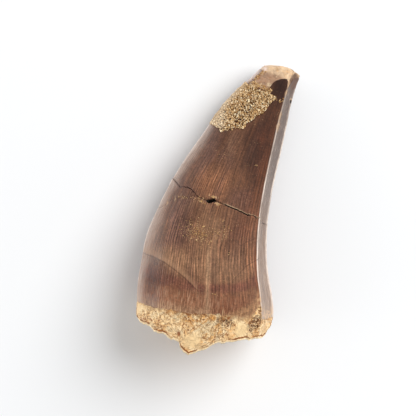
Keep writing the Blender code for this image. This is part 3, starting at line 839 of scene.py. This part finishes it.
def cellsOf(tree, vector, scale):    # the distance from the middle of the nearest cell
    node = addNode(tree, "ShaderNodeTexVoronoi", feature="F1")
    feed(tree, node.inputs["Vector"], vector)
    node.inputs["Scale"].default_value = scale
    return node.outputs["Distance"]


def placeInMm(tree):
    coordinates = addNode(tree, "ShaderNodeTexCoord").outputs["Object"]
    return stretched(tree, coordinates, (1 / mm, 1 / mm, 1 / mm))


def bumpOf(tree, height, strength):    # height in millimetres
    node = addNode(tree, "ShaderNodeBump")
    node.inputs["Strength"].default_value = strength
    node.inputs["Distance"].default_value = mm
    feed(tree, node.inputs["Height"], height)
    return node.outputs["Normal"]


def startMaterial(name):
    material = bpy.data.materials.new(name)
    material.use_nodes = True
    tree = material.node_tree
    tree.nodes.clear()
    output = addNode(tree, "ShaderNodeOutputMaterial")
    shader = addNode(tree, "ShaderNodeBsdfPrincipled")
    tree.links.new(shader.outputs["BSDF"], output.inputs["Surface"])
    return material, tree, shader


def startGroup(name, ins, outs):
    tree = bpy.data.node_groups.new(name, "ShaderNodeTree")
    for socketName, kind, default in ins:
        socket = tree.interface.new_socket(name=socketName, in_out="INPUT", socket_type=kind)
        if default is not None:
            socket.default_value = default
    for socketName, kind in outs:
        tree.interface.new_socket(name=socketName, in_out="OUTPUT", socket_type=kind)
    return tree, addNode(tree, "NodeGroupInput").outputs, addNode(tree, "NodeGroupOutput").inputs


def makeFineDirt():    # pale dust and dark specks that settle over any of the surfaces
    tree, given, result = startGroup(
        "fineDirt",
        (("Vector", "NodeSocketVector", None), ("Colour", "NodeSocketColor", (0.5, 0.5, 0.5, 1.0)),
         ("Dust Colour", "NodeSocketColor", sRgb(196, 160, 118)), ("Dust", "NodeSocketFloat", 0.3),
         ("Speck Colour", "NodeSocketColor", sRgb(62, 42, 32)), ("Specks", "NodeSocketFloat", 0.3)),
        (("Colour", "NodeSocketColor"),))
    patches = between(tree, noiseOf(tree, given["Vector"], 0.45, 4.0, 0.65), 0.46, 0.66)
    grains = between(tree, cellsOf(tree, given["Vector"], 2.6), 0.22, 0.10)
    dust = calculate(tree, "MULTIPLY", calculate(tree, "MULTIPLY", patches, grains), given["Dust"])
    dots = between(tree, cellsOf(tree, stretched(tree, given["Vector"], (1, 1, 1), (7, 3, 5)), 1.9), 0.15, 0.07)
    specks = calculate(tree, "MULTIPLY", dots, given["Specks"])
    dirty = layer(tree, given["Colour"], given["Speck Colour"], specks)
    dirty = layer(tree, dirty, given["Dust Colour"], dust)
    tree.links.new(dirty, result["Colour"])
    return tree


fineDirt = makeFineDirt()


def addDirt(tree, vector, colour, **amounts):
    node = addNode(tree, "ShaderNodeGroup", node_tree=fineDirt)
    feed(tree, node.inputs["Vector"], vector)
    feed(tree, node.inputs["Colour"], colour)
    for name, value in amounts.items():
        node.inputs[name].default_value = value
    return node.outputs["Colour"]


# the tooth's finish: screen colours, 0 to 255, and layers of them from the lowest up
# a layer's strength is the product of its parts: a number, the name of a value or texture,
# (name, low, high) for a smooth step from 0 to 1, with two more numbers for other ends than 0 and 1,
# or ("near", name, centre, reach, softness) for a band round a centre

toothColours = {
    "enamel": (106, 71, 50),
    "darkRegion": (77, 48, 34),
    "purpleRegion": (96, 65, 52),
    "redRegion": (112, 67, 45),
    "warmRegion": (125, 82, 56),
    "paleRegion": (132, 97, 71),
    "tipDark": (68, 43, 32),
    "lowBand": (134, 88, 62),
    "lowBandLine": (106, 65, 50),
    "cornerPale": (150, 110, 77),
    "keelEdge": (128, 76, 50),
    "keelDeep": (190, 176, 168),      # multiplied: painted shade towards the keel
    "keelLine": (218, 201, 187),
    "strip": (94, 80, 72),
    "stripLow": (142, 119, 103),
    "stripLine": (74, 63, 60),
    # painted reflection along the left edge
    "edgePale": (172, 150, 136),
    # painted highlight along the left outline
    "leftLine": (228, 212, 200),
    "streakLight": (186, 150, 120),
    "streakDark": (70, 44, 34),
    "rib": (160, 124, 94),
    "rootCream": (244, 212, 162),
    "rootTan": (230, 184, 128),
    "rootGold": (220, 158, 84),
    "rootBrown": (144, 82, 32),
    "rootDark": (92, 52, 22),
    "rootPlain": (236, 204, 154),
    # pale cream; beside the winding lines and along the lower edge it is painted highlight
    "rootGlint": (252, 230, 188),
    "dentine": (166, 132, 106),
    "dentineOchre": (216, 184, 150),
    # near black: painted shade in the crack, hole and notch, partly a dark filling
    "crack": (16, 7, 4),
    "chip": (206, 168, 126),
    # painted highlight on the crack's lip
    "crackLip": (224, 192, 156),
    "stain": (158, 96, 52),
    # painted highlight and reflection at the tip's left corner and band
    "tipCorner": (226, 206, 198),
    "facet": (98, 68, 54),
    "crackBrown": (74, 40, 29),
}

toothFinish = {
    # along the tooth: how stretched the noise is across and along, its detail and roughness
    "streakTextures": {
        "streaks": ((2.5, 0.12, 1.0), 3.0, 0.6),
        "broadStreaks": ((0.75, 0.05, 1.0), 2.0, 0.5),
        "hairs": ((4.0, 0.60, 1.0), 2.0, 0.6),
        "thinHairs": ((6.5, 0.50, 1.0), 2.0, 0.6),
    },
    # all through it: how fine the noise is, its detail, roughness and distortion
    "solidTextures": {
        "clouds": (0.35, 4.0, 0.6),
        "mottle": (1.6, 4.0, 0.65),
        "grit": (6.5, 3.0, 0.6),
        "curls": (2.3, 1.0, 0.5, 1.8),
        "rootClouds": (0.5, 2.0, 0.5, 0.3),
        "rootPatches": (1.0, 2.0, 0.5, 0.8),
        "windings": (1.15, 1.5, 0.5, 1.5),
        "network": (2.6, 1.0, 0.5, 0.9),
    },
    "ground": (
        ("darkRegion", "darkRegion"),
        ("purpleRegion", "purpleRegion"),
        ("redRegion", "redRegion"),
        ("warmRegion", "warmRegion"),
        ("paleRegion", "paleRegion"),
        ("purpleRegion", ("broadStreaks", 0.50, 0.34, 0.0, 0.35)),
        ("warmRegion", ("broadStreaks", 0.52, 0.70, 0.0, 0.35)),
        ("lowBand", "bandPale"),
        ("lowBandLine", ("near", "lowBand", 0.0, 0.3, 0.9), ("clouds", 0.3, 0.6, 0.55, 1.0)),
        ("cornerPale", "cornerPale", ("mottle", 0.3, 0.6, 0.5, 1.0)),
        ("tipDark", "tipDark"),
        ("rib", "rib", 0.7),
        ("rib", "endPale", ("mottle", 0.35, 0.6, 0.4, 0.85)),
    ),
    # what makes the enamel lighter and darker: texture and amount; the calm ones are weaker on the low band
    "sway": (("streaks", 0.9, "calm"), ("mottle", 1.0), ("speckle", 1.05), ("hairs", 0.9, "calm"),
             ("clouds", 0.5), ("grit", 1.3), ("thinHairs", 1.2, "calm")),
    "calm": ("bandPale", 0.0, 1.0, 1.0, 0.55),
    # the carved ridges' tops painted lighter and the hollows between them darker: painted highlight and shade, over
    # the striae's own pale and dark lines
    "lineDepth": ("streaks", 0.30, 0.60, 0.28, 0.68),
    "betweenLines": 0.89,
    "edges": (
        ("streakLight", ("thinHairs", 0.50, 0.60), "bandPale", ("clouds", 0.38, 0.56, 0.1, 0.5)),
        ("chip", ("thinHairs", 0.52, 0.62), ("aboveEnd", 1.5, 0.2), ("broadStreaks", 0.44, 0.56, 0.1, 0.6)),
        # painted shade, multiplied in: darker towards the keel and along the left shoulder
        ("keelDeep", "keelDeep"),
        ("keelDeep", "shoulderDeep", 0.6),
        # painted reflection along the left edge
        ("edgePale", "edgePale", ("hairs", 0.32, 0.62, 0.4, 0.85)),
        # painted highlight along the left outline
        ("leftLine", "leftLine", ("thinHairs", 0.42, 0.58, 0.2, 0.95)),
        # painted reflection down the tip's left slope, in the corner's highlight colour
        ("tipCorner", "tipBand", ("mottle", 0.35, 0.6, 0.2, 0.45)),
        # the orange line before the keel
        ("keelEdge", ("near", "fromKeel", -0.32, 0.08, 0.14), ("stripPale", 0.1, 0.7, 0.10, 0.5),
         ("clouds", 0.35, 0.55, 0.4, 1.0)),
    ),
    # the greyer strip beyond the keel, paler low down: partly painted reflection of the pale surroundings, partly
    # worn enamel
    "strip": (
        ("stripLow", "stripPale"),
        ("stripLine", ("hairs", 0.52, 0.34, 0.0, 0.55)),
        ("keelLine", ("hairs", 0.56, 0.72, 0.0, 0.5)),
        ("stripLine", ("broadStreaks", 0.48, 0.30, 0.0, 0.4)),
    ),
    "onStrip": (("fromKeel", -0.04, 0.06), ("fromRim", 2.4, 1.0), ("mottle", 0.3, 0.6, 0.6, 0.9)),
    "besideStrip": (
        # the keel's worn white line, the strip's pale outer line and its chipped end
        ("keelLine", ("near", "fromKeel", 0.05, 0.13, 0.09), ("clouds", 0.32, 0.5, 0.6, 1.0),
         ("stripPale", 0.0, 0.15, 0.7, 1.0), ("cornerPale", 1.0, 0.0, 0.7, 1.0), ("rimDim", 0.0, 1.0, 1.0, 0.7)),
        ("keelLine", ("fromRim", -1.0, -0.3), ("fromRim", 1.2, 0.2), ("rimDim", 0.0, 1.0, 1.0, 0.5),
         ("mottle", 0.3, 0.55, 0.45, 0.95)),
        ("chip", ("fromKeel", -0.9, -0.1), ("fromRim", 1.2, 0.2), ("aboveEnd", 2.8, 0.3),
         ("mottle", 0.46, 0.56, 0.1, 0.8)),
        # hairlines
        ("rib", ("hairlineLeft", 1.3, 0.3), ("hairlineLeft", 0.05, 0.3), 0.4),
        ("streakDark", ("near", "hairlineLeft", 0.0, 0.03, 0.10), 0.5),
        ("streakDark", ("near", "hairlineRight", 0.0, 0.03, 0.10), 0.65),
        ("streakDark", ("near", "hairlineLow", 0.0, 0.03, 0.10), 0.6),
    ),
    "dirt": {"Dust": 0.35, "Specks": 0.25},
    # scratches, the healed branch, chips, and a painted highlight on the crack's pale lip
    "wear": (
        ("chip", ("near", "curls", 0.48, 0.006, 0.022), ("dusty", 0.15, 0.6), ("mottle", 0.42, 0.55), 0.5),
        ("streakDark", ("near", "branchGap", 0.0, 0.02, 0.10), 0.45),
        ("chip", "chip", 0.8),
        ("chip", "flake", ("grit", 0.3, 0.6, 0.25, 0.6)),
        ("crackLip", "crackLip", 0.9),
    ),
    # the thin winding brown lines of the root, and the pores of its spongy places
    "outlines": ("near", "windings", 0.5, 0.010, 0.035),
    "small": ("near", "curls", 0.5, 0.010, 0.035),
    "smallWhere": (("golden", 0.1, 0.7, 0.12, 1.0), ("rootPatches", 0.54, 0.64, 0.0, 0.8)),
    "sponge": (("spongy", 0.2, 0.5), ("near", "network", 0.5, 0.035, 0.03)),
    "root": (
        ("rootTan", ("rootClouds", 0.47, 0.63)),
        ("rootGold", ("rootPatches", 0.44, 0.62), ("golden", 0.0, 0.8, 0.15, 0.8)),
        ("rootGlint", ("rootPatches", 0.46, 0.34, 0.0, 0.6)),
        # painted highlight: pale lines beside the brown winding lines, for a raised look
        ("rootGlint", ("near", "windings", 0.44, 0.012, 0.03), 0.5),
        ("rootBrown", "outlines", ("rootClouds", 0.36, 0.54, 0.2, 0.85)),
        ("rootBrown", "small", "smallWhere", 0.85),
        ("rootBrown", "fold", ("mottle", 0.38, 0.58, 0.1, 0.5)),
        ("rootDark", "pit", ("mottle", 0.4, 0.6, 0.0, 0.35)),
        ("rootPlain", "plain", 0.85),
        ("rootBrown", ("spongy", 0.2, 0.7, 0.0, 0.25)),
        ("rootDark", "sponge", 0.95),
        ("stain", ("stain", 0.3, 0.8), ("mottle", 0.40, 0.55, 0.3, 0.9)),
        # the lower edge, painted paler along it as a highlight, the brown line under the enamel, and the broken
        # face
        ("rootBrown", ("near", "rootEdge", 0.38, 0.07, 0.12), ("clouds", 0.44, 0.52, 0.15, 1.0)),
        ("rootGlint", ("rootEdge", 0.34, 0.18), ("mottle", 0.35, 0.5, 0.5, 0.9)),
        ("rootBrown", ("aboveEnd", -0.50, -0.05), ("mottle", 0.42, 0.56, 0.3, 1.0),
         ("softEnd", 0.2, 0.6, 1.0, 0.1), ("golden", 0.1, 0.6, 0.3, 1.0)),
        ("rootGold", ("brokenFace", 0.12, 0.3), ("mottle", 0.4, 0.62, 0.1, 0.8)),
        ("rootBrown", ("brokenFace", 0.55, 0.95, 0.0, 0.7)),
    ),
    "dentine": (
        ("dentineOchre", ("ochre", -0.7, 0.2)),
        ("rootGold", ("ochre", -0.2, 0.3), ("mottle", 0.48, 0.66, 0.0, 0.3)),
        ("rootBrown", ("mottle", 0.46, 0.30, 0.0, 0.35), ("ochre", 0.0, -0.6)),
        # painted highlight at the tip's left corner
        ("tipCorner", "tipCorner", 0.9),
        ("rootGlint", ("rootPatches", 0.48, 0.36, 0.0, 0.35)),
        ("stain", ("stain", 0.3, 0.8), 0.7),
    ),
    "isWorn": ("worn", 0.0, 0.12),
    "endReach": ("softEnd", 0.0, 0.8, 0.12, 0.75),    # a slow fade at the lower right corner
    "cracks": (
        # painted shade in the crack, hole and notch, partly a dark filling
        ("crack", ("groove", 0.05, 0.45)),
        ("crackBrown", "crackStain", 0.7),
    ),
    "shader": {
        "Coat Roughness": 0.2,
        "IOR": 1.5,
        "Specular IOR Level": 0.35,
        "Sheen Weight": 0.17,
        "Sheen Roughness": 0.4,
        "Sheen Tint": (1.0, 0.9, 0.84, 1.0),
    },
    # bumps, in millimetres
    "enamelBumps": (("streaks", 0.030), ("hairs", 0.016), ("grit", 0.016)),
    "rootBumps": (("grit", 0.04), ("outlines", -0.06), ("small", "smallWhere", -0.05), ("sponge", -0.07)),
}


def makeToothFinish():
    finish = toothFinish
    material, tree, shader = startMaterial("fossilTooth")
    place = placeInMm(tree)
    along = addNode(tree, "ShaderNodeUVMap", uv_map="alongTooth").outputs["UV"]
    fields = {}
    for name, (stretch, *noiseSettings) in finish["streakTextures"].items():
        fields[name] = noiseOf(tree, stretched(tree, along, stretch), 1.0, *noiseSettings)
    for name, noiseSettings in finish["solidTextures"].items():
        fields[name] = noiseOf(tree, place, *noiseSettings)
    fields["speckle"] = noiseOf(tree, stretched(tree, place, (1.0, 1.0, 1.0), (5.0, 2.0, 9.0)), 3.2, 3.0, 0.6)

    def field(name):    # a texture, or one of the values that the mesh carries
        if name not in fields:
            fields[name] = readAttribute(tree, name)
        return fields[name]

    def part(given):
        if isinstance(given, str):
            return field(given)
        if not isinstance(given, tuple):
            return given
        if given[0] != "near":
            return between(tree, field(given[0]), *given[1:])
        name, centre, reach, soft = given[1:]
        value = calculate(tree, "SUBTRACT", field(name), centre) if centre else field(name)
        return between(tree, calculate(tree, "ABSOLUTE", value), reach + soft, reach)

    def times(*parts):
        product = part(parts[0])
        for factor in parts[1:]:
            product = calculate(tree, "MULTIPLY", product, part(factor))
        return product

    def sumOf(*terms):
        total = terms[0]
        for term in terms[1:]:
            total = calculate(tree, "ADD", total, term)
        return total

    def paint(name):
        return sRgb(*toothColours[name])

    def cover(colour, layers):
        for name, *parts in layers:
            # the painted shade is multiplied in; every other layer is laid over
            blend = "MULTIPLY" if name == "keelDeep" else "MIX"
            colour = layer(tree, colour, paint(name), times(*parts), blend)
        return colour

    fields["outlines"], fields["small"] = part(finish["outlines"]), part(finish["small"])
    fields["smallWhere"] = calculate(tree, "MAXIMUM", *(part(given) for given in finish["smallWhere"]))
    fields["sponge"] = times(*finish["sponge"])
    fields["calm"] = part(finish["calm"])

    # enamel: soft regions first, then everything that only makes them lighter or darker
    # the first shade is the painted highlight and shade on the ridges
    shades = [sumOf(times("ridge", finish["lineDepth"], "striae"), finish["betweenLines"])]
    for name, amount, *calm in finish["sway"]:
        amount = times(*calm, amount)
        shades.append(sumOf(times(calculate(tree, "SUBTRACT", field(name), 0.5), amount), 1.0))
    enamel = cover(paint("enamel"), finish["ground"])
    enamel = layer(tree, enamel, times(*shades), 1.0, "MULTIPLY")
    enamel = cover(enamel, finish["edges"])
    enamel = layer(tree, enamel, cover(paint("strip"), finish["strip"]), times(*finish["onStrip"]))
    enamel = cover(enamel, finish["besideStrip"])
    enamel = cover(addDirt(tree, place, enamel, **finish["dirt"]), finish["wear"])

    root = cover(paint("rootCream"), finish["root"])
    dentine = cover(paint("dentine"), finish["dentine"])
    worn = part(finish["isWorn"])
    endReach = part(finish["endReach"])
    uneven = times(calculate(tree, "SUBTRACT", field("speckle"), 0.5), 0.9)
    isEnamel = between(tree, sumOf(field("aboveEnd"), uneven), times(endReach, -1.0), endReach)
    colour = layer(tree, layer(tree, root, enamel, isEnamel), dentine, worn)
    facet = layer(tree, paint("streakDark"), paint("facet"), part(("mottle", 0.35, 0.6)))
    colour = layer(tree, colour, facet, times("facet", 0.85))
    colour = cover(colour, finish["cracks"])
    tree.links.new(colour, shader.inputs["Base Color"])

    # gloss on sound enamel only
    unworn, uncracked = (calculate(tree, "SUBTRACT", 1.0, value) for value in (worn, field("groove")))
    smooth = times(isEnamel, unworn, uncracked)
    gloss = sumOf(part(("mottle", 0.3, 0.7, 0.32, 0.50)), part(("shoulderDull", 0.1, 0.8, 0.0, 0.16)))
    matt = times(calculate(tree, "SUBTRACT", 1.0, smooth), 0.5)
    tree.links.new(sumOf(gloss, matt), shader.inputs["Roughness"])
    tree.links.new(times(smooth, ("shoulderDull", 0.1, 0.8, 0.05, 0.0)), shader.inputs["Coat Weight"])
    for name, value in finish["shader"].items():
        shader.inputs[name].default_value = value

    fineEnamel = sumOf(*(times(*term) for term in finish["enamelBumps"]))
    fineRoot = sumOf(*(times(*term) for term in finish["rootBumps"]))
    tree.links.new(bumpOf(tree, layer(tree, fineRoot, fineEnamel, smooth), 1.0), shader.inputs["Normal"])
    return material


tooth.data.materials.append(makeToothFinish())
print("tooth finish made")


# the cemented sand: grains packed over the pocket in the tooth, and loose grains elsewhere

sandPiece = {
    "turns": (-0.27, 2.15),          # how far round the tooth it reaches
    "along": (10.2, 20.2),
    "drawnAtOnce": 400,
    "grainKinds": 8,
    "layers": (                      # grains, lowest, highest, smallest and largest radius
        (1300, 0.03, 0.14, 0.09, 0.14),
        (5200, 0.04, 0.20, 0.05, 0.088),
    ),
    "fineRadius": 0.09,              # smaller grains are plain cubes
    "darkShare": 0.12,
    "seed": 41,
}

looseSand = {
    # centre, half size, turn in degrees, grains, smallest and largest radius
    "patches": (
        (-3.9, -5.0, 2.4, 1.5, -8, 150, 0.035, 0.07),
        (-3.9, -5.1, 2.2, 1.2, -8, 36, 0.06, 0.11),
        (-0.1, -4.1, 1.1, 1.3, 10, 42, 0.035, 0.07),
        (-0.1, -4.3, 0.9, 1.0, 10, 6, 0.06, 0.10),
        (-0.7, -2.3, 0.4, 0.15, -8, 6, 0.05, 0.07),
        (1.7, -6.8, 0.2, 0.25, 0, 3, 0.06, 0.08),
        (-7.6, -0.5, 0.7, 0.18, 12, 12, 0.04, 0.09),
        (-5.4, -0.2, 1.3, 0.25, 0, 20, 0.03, 0.07),
        (-3.1, 0.85, 0.4, 0.12, 10, 8, 0.06, 0.11),
        (-4.4, -0.35, 0.5, 0.18, 0, 8, 0.05, 0.10),
        (-2.1, 0.0, 0.4, 0.15, 0, 6, 0.05, 0.10),
        (2.6, 18.15, 0.28, 0.22, 0, 9, 0.06, 0.11),
        (3.05, 18.6, 0.15, 0.3, 0, 5, 0.05, 0.10),
        (-1.65, 20.9, 0.26, 1.0, -26, 45, 0.05, 0.10),
        (-1.0, 21.8, 0.25, 0.4, -28, 14, 0.05, 0.10),
        (-0.9, 19.4, 1.9, 0.4, -8, 90, 0.06, 0.12),
        (0.3, 19.05, 0.5, 0.25, -8, 10, 0.05, 0.11),
        (1.9, 7.35, 0.25, 0.2, 0, 4, 0.05, 0.08),
        (-3.6, 7.8, 2.4, 1.6, 0, 16, 0.025, 0.05),
        (1.3, -13.3, 0.3, 0.15, 0, 5, 0.05, 0.08),
        (0.5, -12.0, 4.5, 3.0, 0, 22, 0.025, 0.05),
        (-6.5, -5.0, 2.5, 3.0, 0, 18, 0.025, 0.05),
    ),
    "spread": 0.55,
    "overhead": 40,                  # the grains are dropped from here
    "lift": 0.35,                    # of a grain's radius
    "seed": 87,
}


def makeGrainKinds():    # bevelled cubes and icospheres, then plain cubes for the finest, all knocked out of true
    draw = np.random.default_rng(sandPiece["seed"])
    kinds = []
    for kind in range(sandPiece["grainKinds"]):
        deselectAll()
        if kind % 2 and kind < 4:
            bpy.ops.mesh.primitive_ico_sphere_add(subdivisions=1, radius=1.05)
        else:
            bpy.ops.mesh.primitive_cube_add(size=1.3)
        crumb = bpy.context.object
        bpy.ops.object.mode_set(mode="EDIT")
        bpy.ops.mesh.select_all(action="SELECT")
        if kind % 2 == 0 and kind < 4:
            bpy.ops.mesh.bevel(offset=0.34, segments=1, affect="EDGES")
        bpy.ops.object.mode_set(mode="OBJECT")
        points = readPoints(crumb)
        points += draw.uniform(-0.16, 0.16, points.shape)
        points *= draw.uniform(0.75, 1.25, 3)
        kinds.append((points, [list(p.vertices) for p in crumb.data.polygons]))
        bpy.data.objects.remove(crumb, do_unlink=True)
    return kinds


grainKinds = makeGrainKinds()


def randomTurns(draw, count):    # even over all directions
    q = draw.normal(size=(count, 4))
    a, b, c, d = (q / np.linalg.norm(q, axis=1, keepdims=True)).T
    rows = ((1 - 2 * (c * c + d * d), 2 * (b * c - a * d), 2 * (b * d + a * c)),
            (2 * (b * c + a * d), 1 - 2 * (b * b + d * d), 2 * (c * d - a * b)),
            (2 * (b * d - a * c), 2 * (c * d + a * b), 1 - 2 * (b * b + c * c)))
    return np.moveaxis(np.array(rows), -1, 0)


def makeGrains(name, places, radii, tones, draw):    # places and radii in millimetres
    turned = randomTurns(draw, len(places))
    half = len(grainKinds) // 2
    which = draw.integers(0, half, len(places)) + np.where(radii < sandPiece["fineRadius"], half, 0)
    points, faces, toneList, start = [], [], [], 0
    for place, radius, tone, matrix, kind in zip(places, radii, tones, turned, which):
        shape, sides = grainKinds[kind]
        points.append(shape @ matrix.T * radius + place)
        faces += [[start + i for i in side] for side in sides]
        toneList.append(np.full(len(shape), tone))
        start += len(shape)
    mesh = bpy.data.meshes.new(name)
    mesh.from_pydata((np.concatenate(points) * mm).tolist(), [], faces)
    grains = bpy.data.objects.new(name, mesh)
    bpy.context.scene.collection.objects.link(grains)
    addFloats(grains, "tone", np.concatenate(toneList))
    return grains


def onBase(turn, y):    # the uncarved tooth and its normal
    step = 0.01
    side = toothSurface(turn + step, y) - toothSurface(turn - step, y)
    ahead = toothSurface(turn, y + step) - toothSurface(turn, y - step)
    normal = np.cross(side, ahead)
    return toothSurface(turn, y), normal / np.linalg.norm(normal, axis=-1, keepdims=True)


def makeSandCrust():    # coarse grains and then fine ones
    size = sandPiece
    draw = np.random.default_rng(size["seed"] + 1)
    places, radii = [], []
    for count, lowest, highest, smallest, largest in size["layers"]:
        while count > 0:
            turn = draw.uniform(*size["turns"], size["drawnAtOnce"])
            y = draw.uniform(*size["along"], size["drawnAtOnce"])
            here, normal = onBase(turn, y)
            bite = 0.20 * noiseGrid(here[:, 0] * 1.6, y * 1.6, 5.0)
            kept = np.flatnonzero(insideSand(turn, here[:, 0], y) + bite > 0.12)[:count]
            here, normal = here[kept], normal[kept]
            lift = draw.uniform(lowest, highest, len(here))
            lift = lift + 0.12 * noiseGrid(here[:, 0] * 1.1, here[:, 1] * 1.1, 2.0)
            places += (here + normal * lift[:, None]).tolist()
            radii += draw.uniform(smallest, largest, len(here)).tolist()
            count -= len(here)
    dark = draw.uniform(size=len(places)) < size["darkShare"]
    darkTones = draw.uniform(0.0, 0.25, len(places))
    tones = np.where(dark, darkTones, 0.34 + 0.74 * draw.beta(1.1, 1.3, len(places)))
    return makeGrains("sandCrust", np.array(places), np.array(radii), tones, draw)


def makeLooseSand():
    draw = np.random.default_rng(looseSand["seed"])
    places, radii = [], []
    for centreX, centreY, width, length, turned, count, smallest, largest in looseSand["patches"]:
        c, s = math.cos(math.radians(turned)), math.sin(math.radians(turned))
        for _ in range(count):
            a, b = draw.normal(size=2) * looseSand["spread"]
            x, y = centreX + a * width * c - b * length * s, centreY + a * width * s + b * length * c
            start = Vector((x, y, looseSand["overhead"])) * mm
            hit, place, normal, _ = tooth.ray_cast(start, Vector((0, 0, -1)))
            if hit:
                r = draw.uniform(smallest, largest)
                places.append(np.array(place) / mm + np.array(normal) * r * looseSand["lift"])
                radii.append(r)
    tones = draw.uniform(0.36, 0.76, len(places))
    return makeGrains("looseSand", np.array(places), np.array(radii), tones, draw)


sandFinish = {
    # where along a grain's tone, and the screen colour there
    "tones": ((0.0, (62, 34, 12)), (0.2, (108, 70, 32)), (0.38, (160, 118, 68)), (0.58, (192, 154, 104)),
              (0.78, (222, 190, 142)), (1.0, (252, 236, 202))),
    "stain": (150, 100, 50),
    "paintedRimLight": (240, 222, 194),     # painted light: paler along the left rim
    "dirt": {"Dust": 0.2, "Specks": 0.35},
    "specular": 0.3,
    "gritBump": 0.05,
}


def makeSandFinish():
    finish = sandFinish
    material, tree, shader = startMaterial("cementedSand")

    def times(first, second):
        return calculate(tree, "MULTIPLY", first, second)

    place = placeInMm(tree)
    tone = readAttribute(tree, "tone")
    grit = noiseOf(tree, place, 7.0, 3.0, 0.6)
    ramp = addNode(tree, "ShaderNodeValToRGB")
    while len(ramp.color_ramp.elements) < len(finish["tones"]):
        ramp.color_ramp.elements.new(0.5)
    for element, (position, colour) in zip(ramp.color_ramp.elements, finish["tones"]):
        element.position, element.color = position, sRgb(*colour)
    uneven = times(calculate(tree, "SUBTRACT", grit, 0.5), 0.5)
    tree.links.new(calculate(tree, "ADD", tone, uneven), ramp.inputs[0])
    stain = between(tree, noiseOf(tree, place, 0.8, 3.0, 0.6), 0.45, 0.65)
    colour = layer(tree, ramp.outputs[0], sRgb(*finish["stain"]), times(stain, 0.3))

    # painted light: the sand is paler towards its left rim
    axes = addNode(tree, "ShaderNodeSeparateXYZ")
    feed(tree, axes.inputs[0], place)
    slanted = calculate(tree, "SUBTRACT", axes.outputs["X"], times(axes.outputs["Y"], 0.4))
    slanted = calculate(tree, "SUBTRACT", slanted, between(tree, axes.outputs["Y"], 15.0, 11.5, 0.0, 1.6))
    colour = layer(tree, colour, sRgb(*finish["paintedRimLight"]), between(tree, slanted, -10.5, -11.6, 0.0, 0.5))
    tree.links.new(addDirt(tree, place, colour, **finish["dirt"]), shader.inputs["Base Color"])
    tree.links.new(between(tree, tone, 0.1, 1.0, 0.85, 0.28), shader.inputs["Roughness"])
    shader.inputs["Specular IOR Level"].default_value = finish["specular"]
    tree.links.new(bumpOf(tree, times(grit, finish["gritBump"]), 0.8), shader.inputs["Normal"])
    return material


sandMaterial = makeSandFinish()
sandCrust = makeSandCrust()
sandCrust.data.materials.append(sandMaterial)
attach(sandCrust, "root")
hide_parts("sand_crust")
looseGrains = makeLooseSand()
looseGrains.data.materials.append(sandMaterial)
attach(looseGrains, "root")
print("sand made:", len(sandCrust.data.polygons), "faces in the crust,",
      len(looseGrains.data.polygons), "in loose grains")


# floor, light and camera

studio = {
    "view": (-3.38, -1.01),          # the middle of the picture, in millimetres
    "turn": 16.5,                    # degrees
    "width": 64.5,                   # what the picture spans at the height below
    "height": 8.0,
    "lens": 250.0,
    "sensor": 36.0,
    "worldOverhead": 0.34,           # the light tent is dim overhead and bright low down
    "worldLow": 1.15,
    "lamps": {
        "key": {
            "from": (0.60, 0.36, 0.80),      # picture right, picture up, towards the camera
            "distance": 420.0,
            "size": (330.0,),
            "power": 1.69,
        },
        "fill": {                            # a low, wide lamp on the left, for the shoulder
            "from": (-0.95, 0.0, 0.12),
            "distance": 300.0,
            "size": (320.0, 70.0),
            "power": 0.50,
        },
    },
    "floorColour": (0.835, 0.845, 0.855, 1.0),
}


def makeLamp(lamp, axes, middle):    # a disk, or a rectangle if it has two sizes
    away = sum((axis * share for axis, share in zip(axes, lamp["from"])), Vector())
    away.normalize()
    place = middle + away * lamp["distance"] * mm
    bpy.ops.object.light_add(type="AREA", location=place, rotation=away.to_track_quat("Z", "Y").to_euler())
    light = bpy.context.object
    light.data.shape = "DISK" if len(lamp["size"]) == 1 else "RECTANGLE"
    light.data.size = lamp["size"][0] * mm
    if len(lamp["size"]) == 2:
        light.data.size_y = lamp["size"][1] * mm
    light.data.energy = lamp["power"]
    return light


def makeStudio():
    turn = math.radians(studio["turn"])
    right = Vector((math.cos(turn), math.sin(turn), 0))
    up = Vector((-math.sin(turn), math.cos(turn), 0))

    deselectAll()
    bpy.ops.mesh.primitive_plane_add(size=1.6, location=(0, 0, 0))
    floor = bpy.context.object
    floor.name = "floor"
    material, tree, shader = startMaterial("paleFloor")
    shader.inputs["Base Color"].default_value = studio["floorColour"]
    shader.inputs["Roughness"].default_value = 0.9
    shader.inputs["Specular IOR Level"].default_value = 0.1
    floor.data.materials.append(material)

    middle = Vector((*studio["view"], studio["height"])) * mm
    distance = studio["width"] * studio["lens"] / studio["sensor"]
    bpy.ops.object.camera_add(location=middle + Vector((0, 0, distance * mm)), rotation=(0, 0, turn))
    camera = bpy.context.object
    camera.data.lens = studio["lens"]
    camera.data.sensor_width = studio["sensor"]
    camera.data.clip_start = 0.01
    bpy.context.scene.camera = camera

    axes = (right, up, Vector((0, 0, 1)))
    key = makeLamp(studio["lamps"]["key"], axes, middle)
    key.visible_glossy = False     # a polarised lamp: it throws the shadow, the tent makes the gloss
    makeLamp(studio["lamps"]["fill"], axes, middle)

    world = bpy.data.worlds.new("softStudio")
    bpy.context.scene.world = world
    world.use_nodes = True
    tree = world.node_tree
    direction = addNode(tree, "ShaderNodeTexCoord").outputs["Generated"]
    upward = addNode(tree, "ShaderNodeSeparateXYZ")
    tree.links.new(direction, upward.inputs[0])
    strength = between(tree, upward.outputs["Z"], 0.05, 0.85, studio["worldLow"], studio["worldOverhead"])
    tree.links.new(strength, tree.nodes["Background"].inputs["Strength"])
    tree.nodes["Background"].inputs["Color"].default_value = (1, 1, 1, 1)
    bpy.context.scene.view_settings.view_transform = "Standard"


makeStudio()
print("studio made")
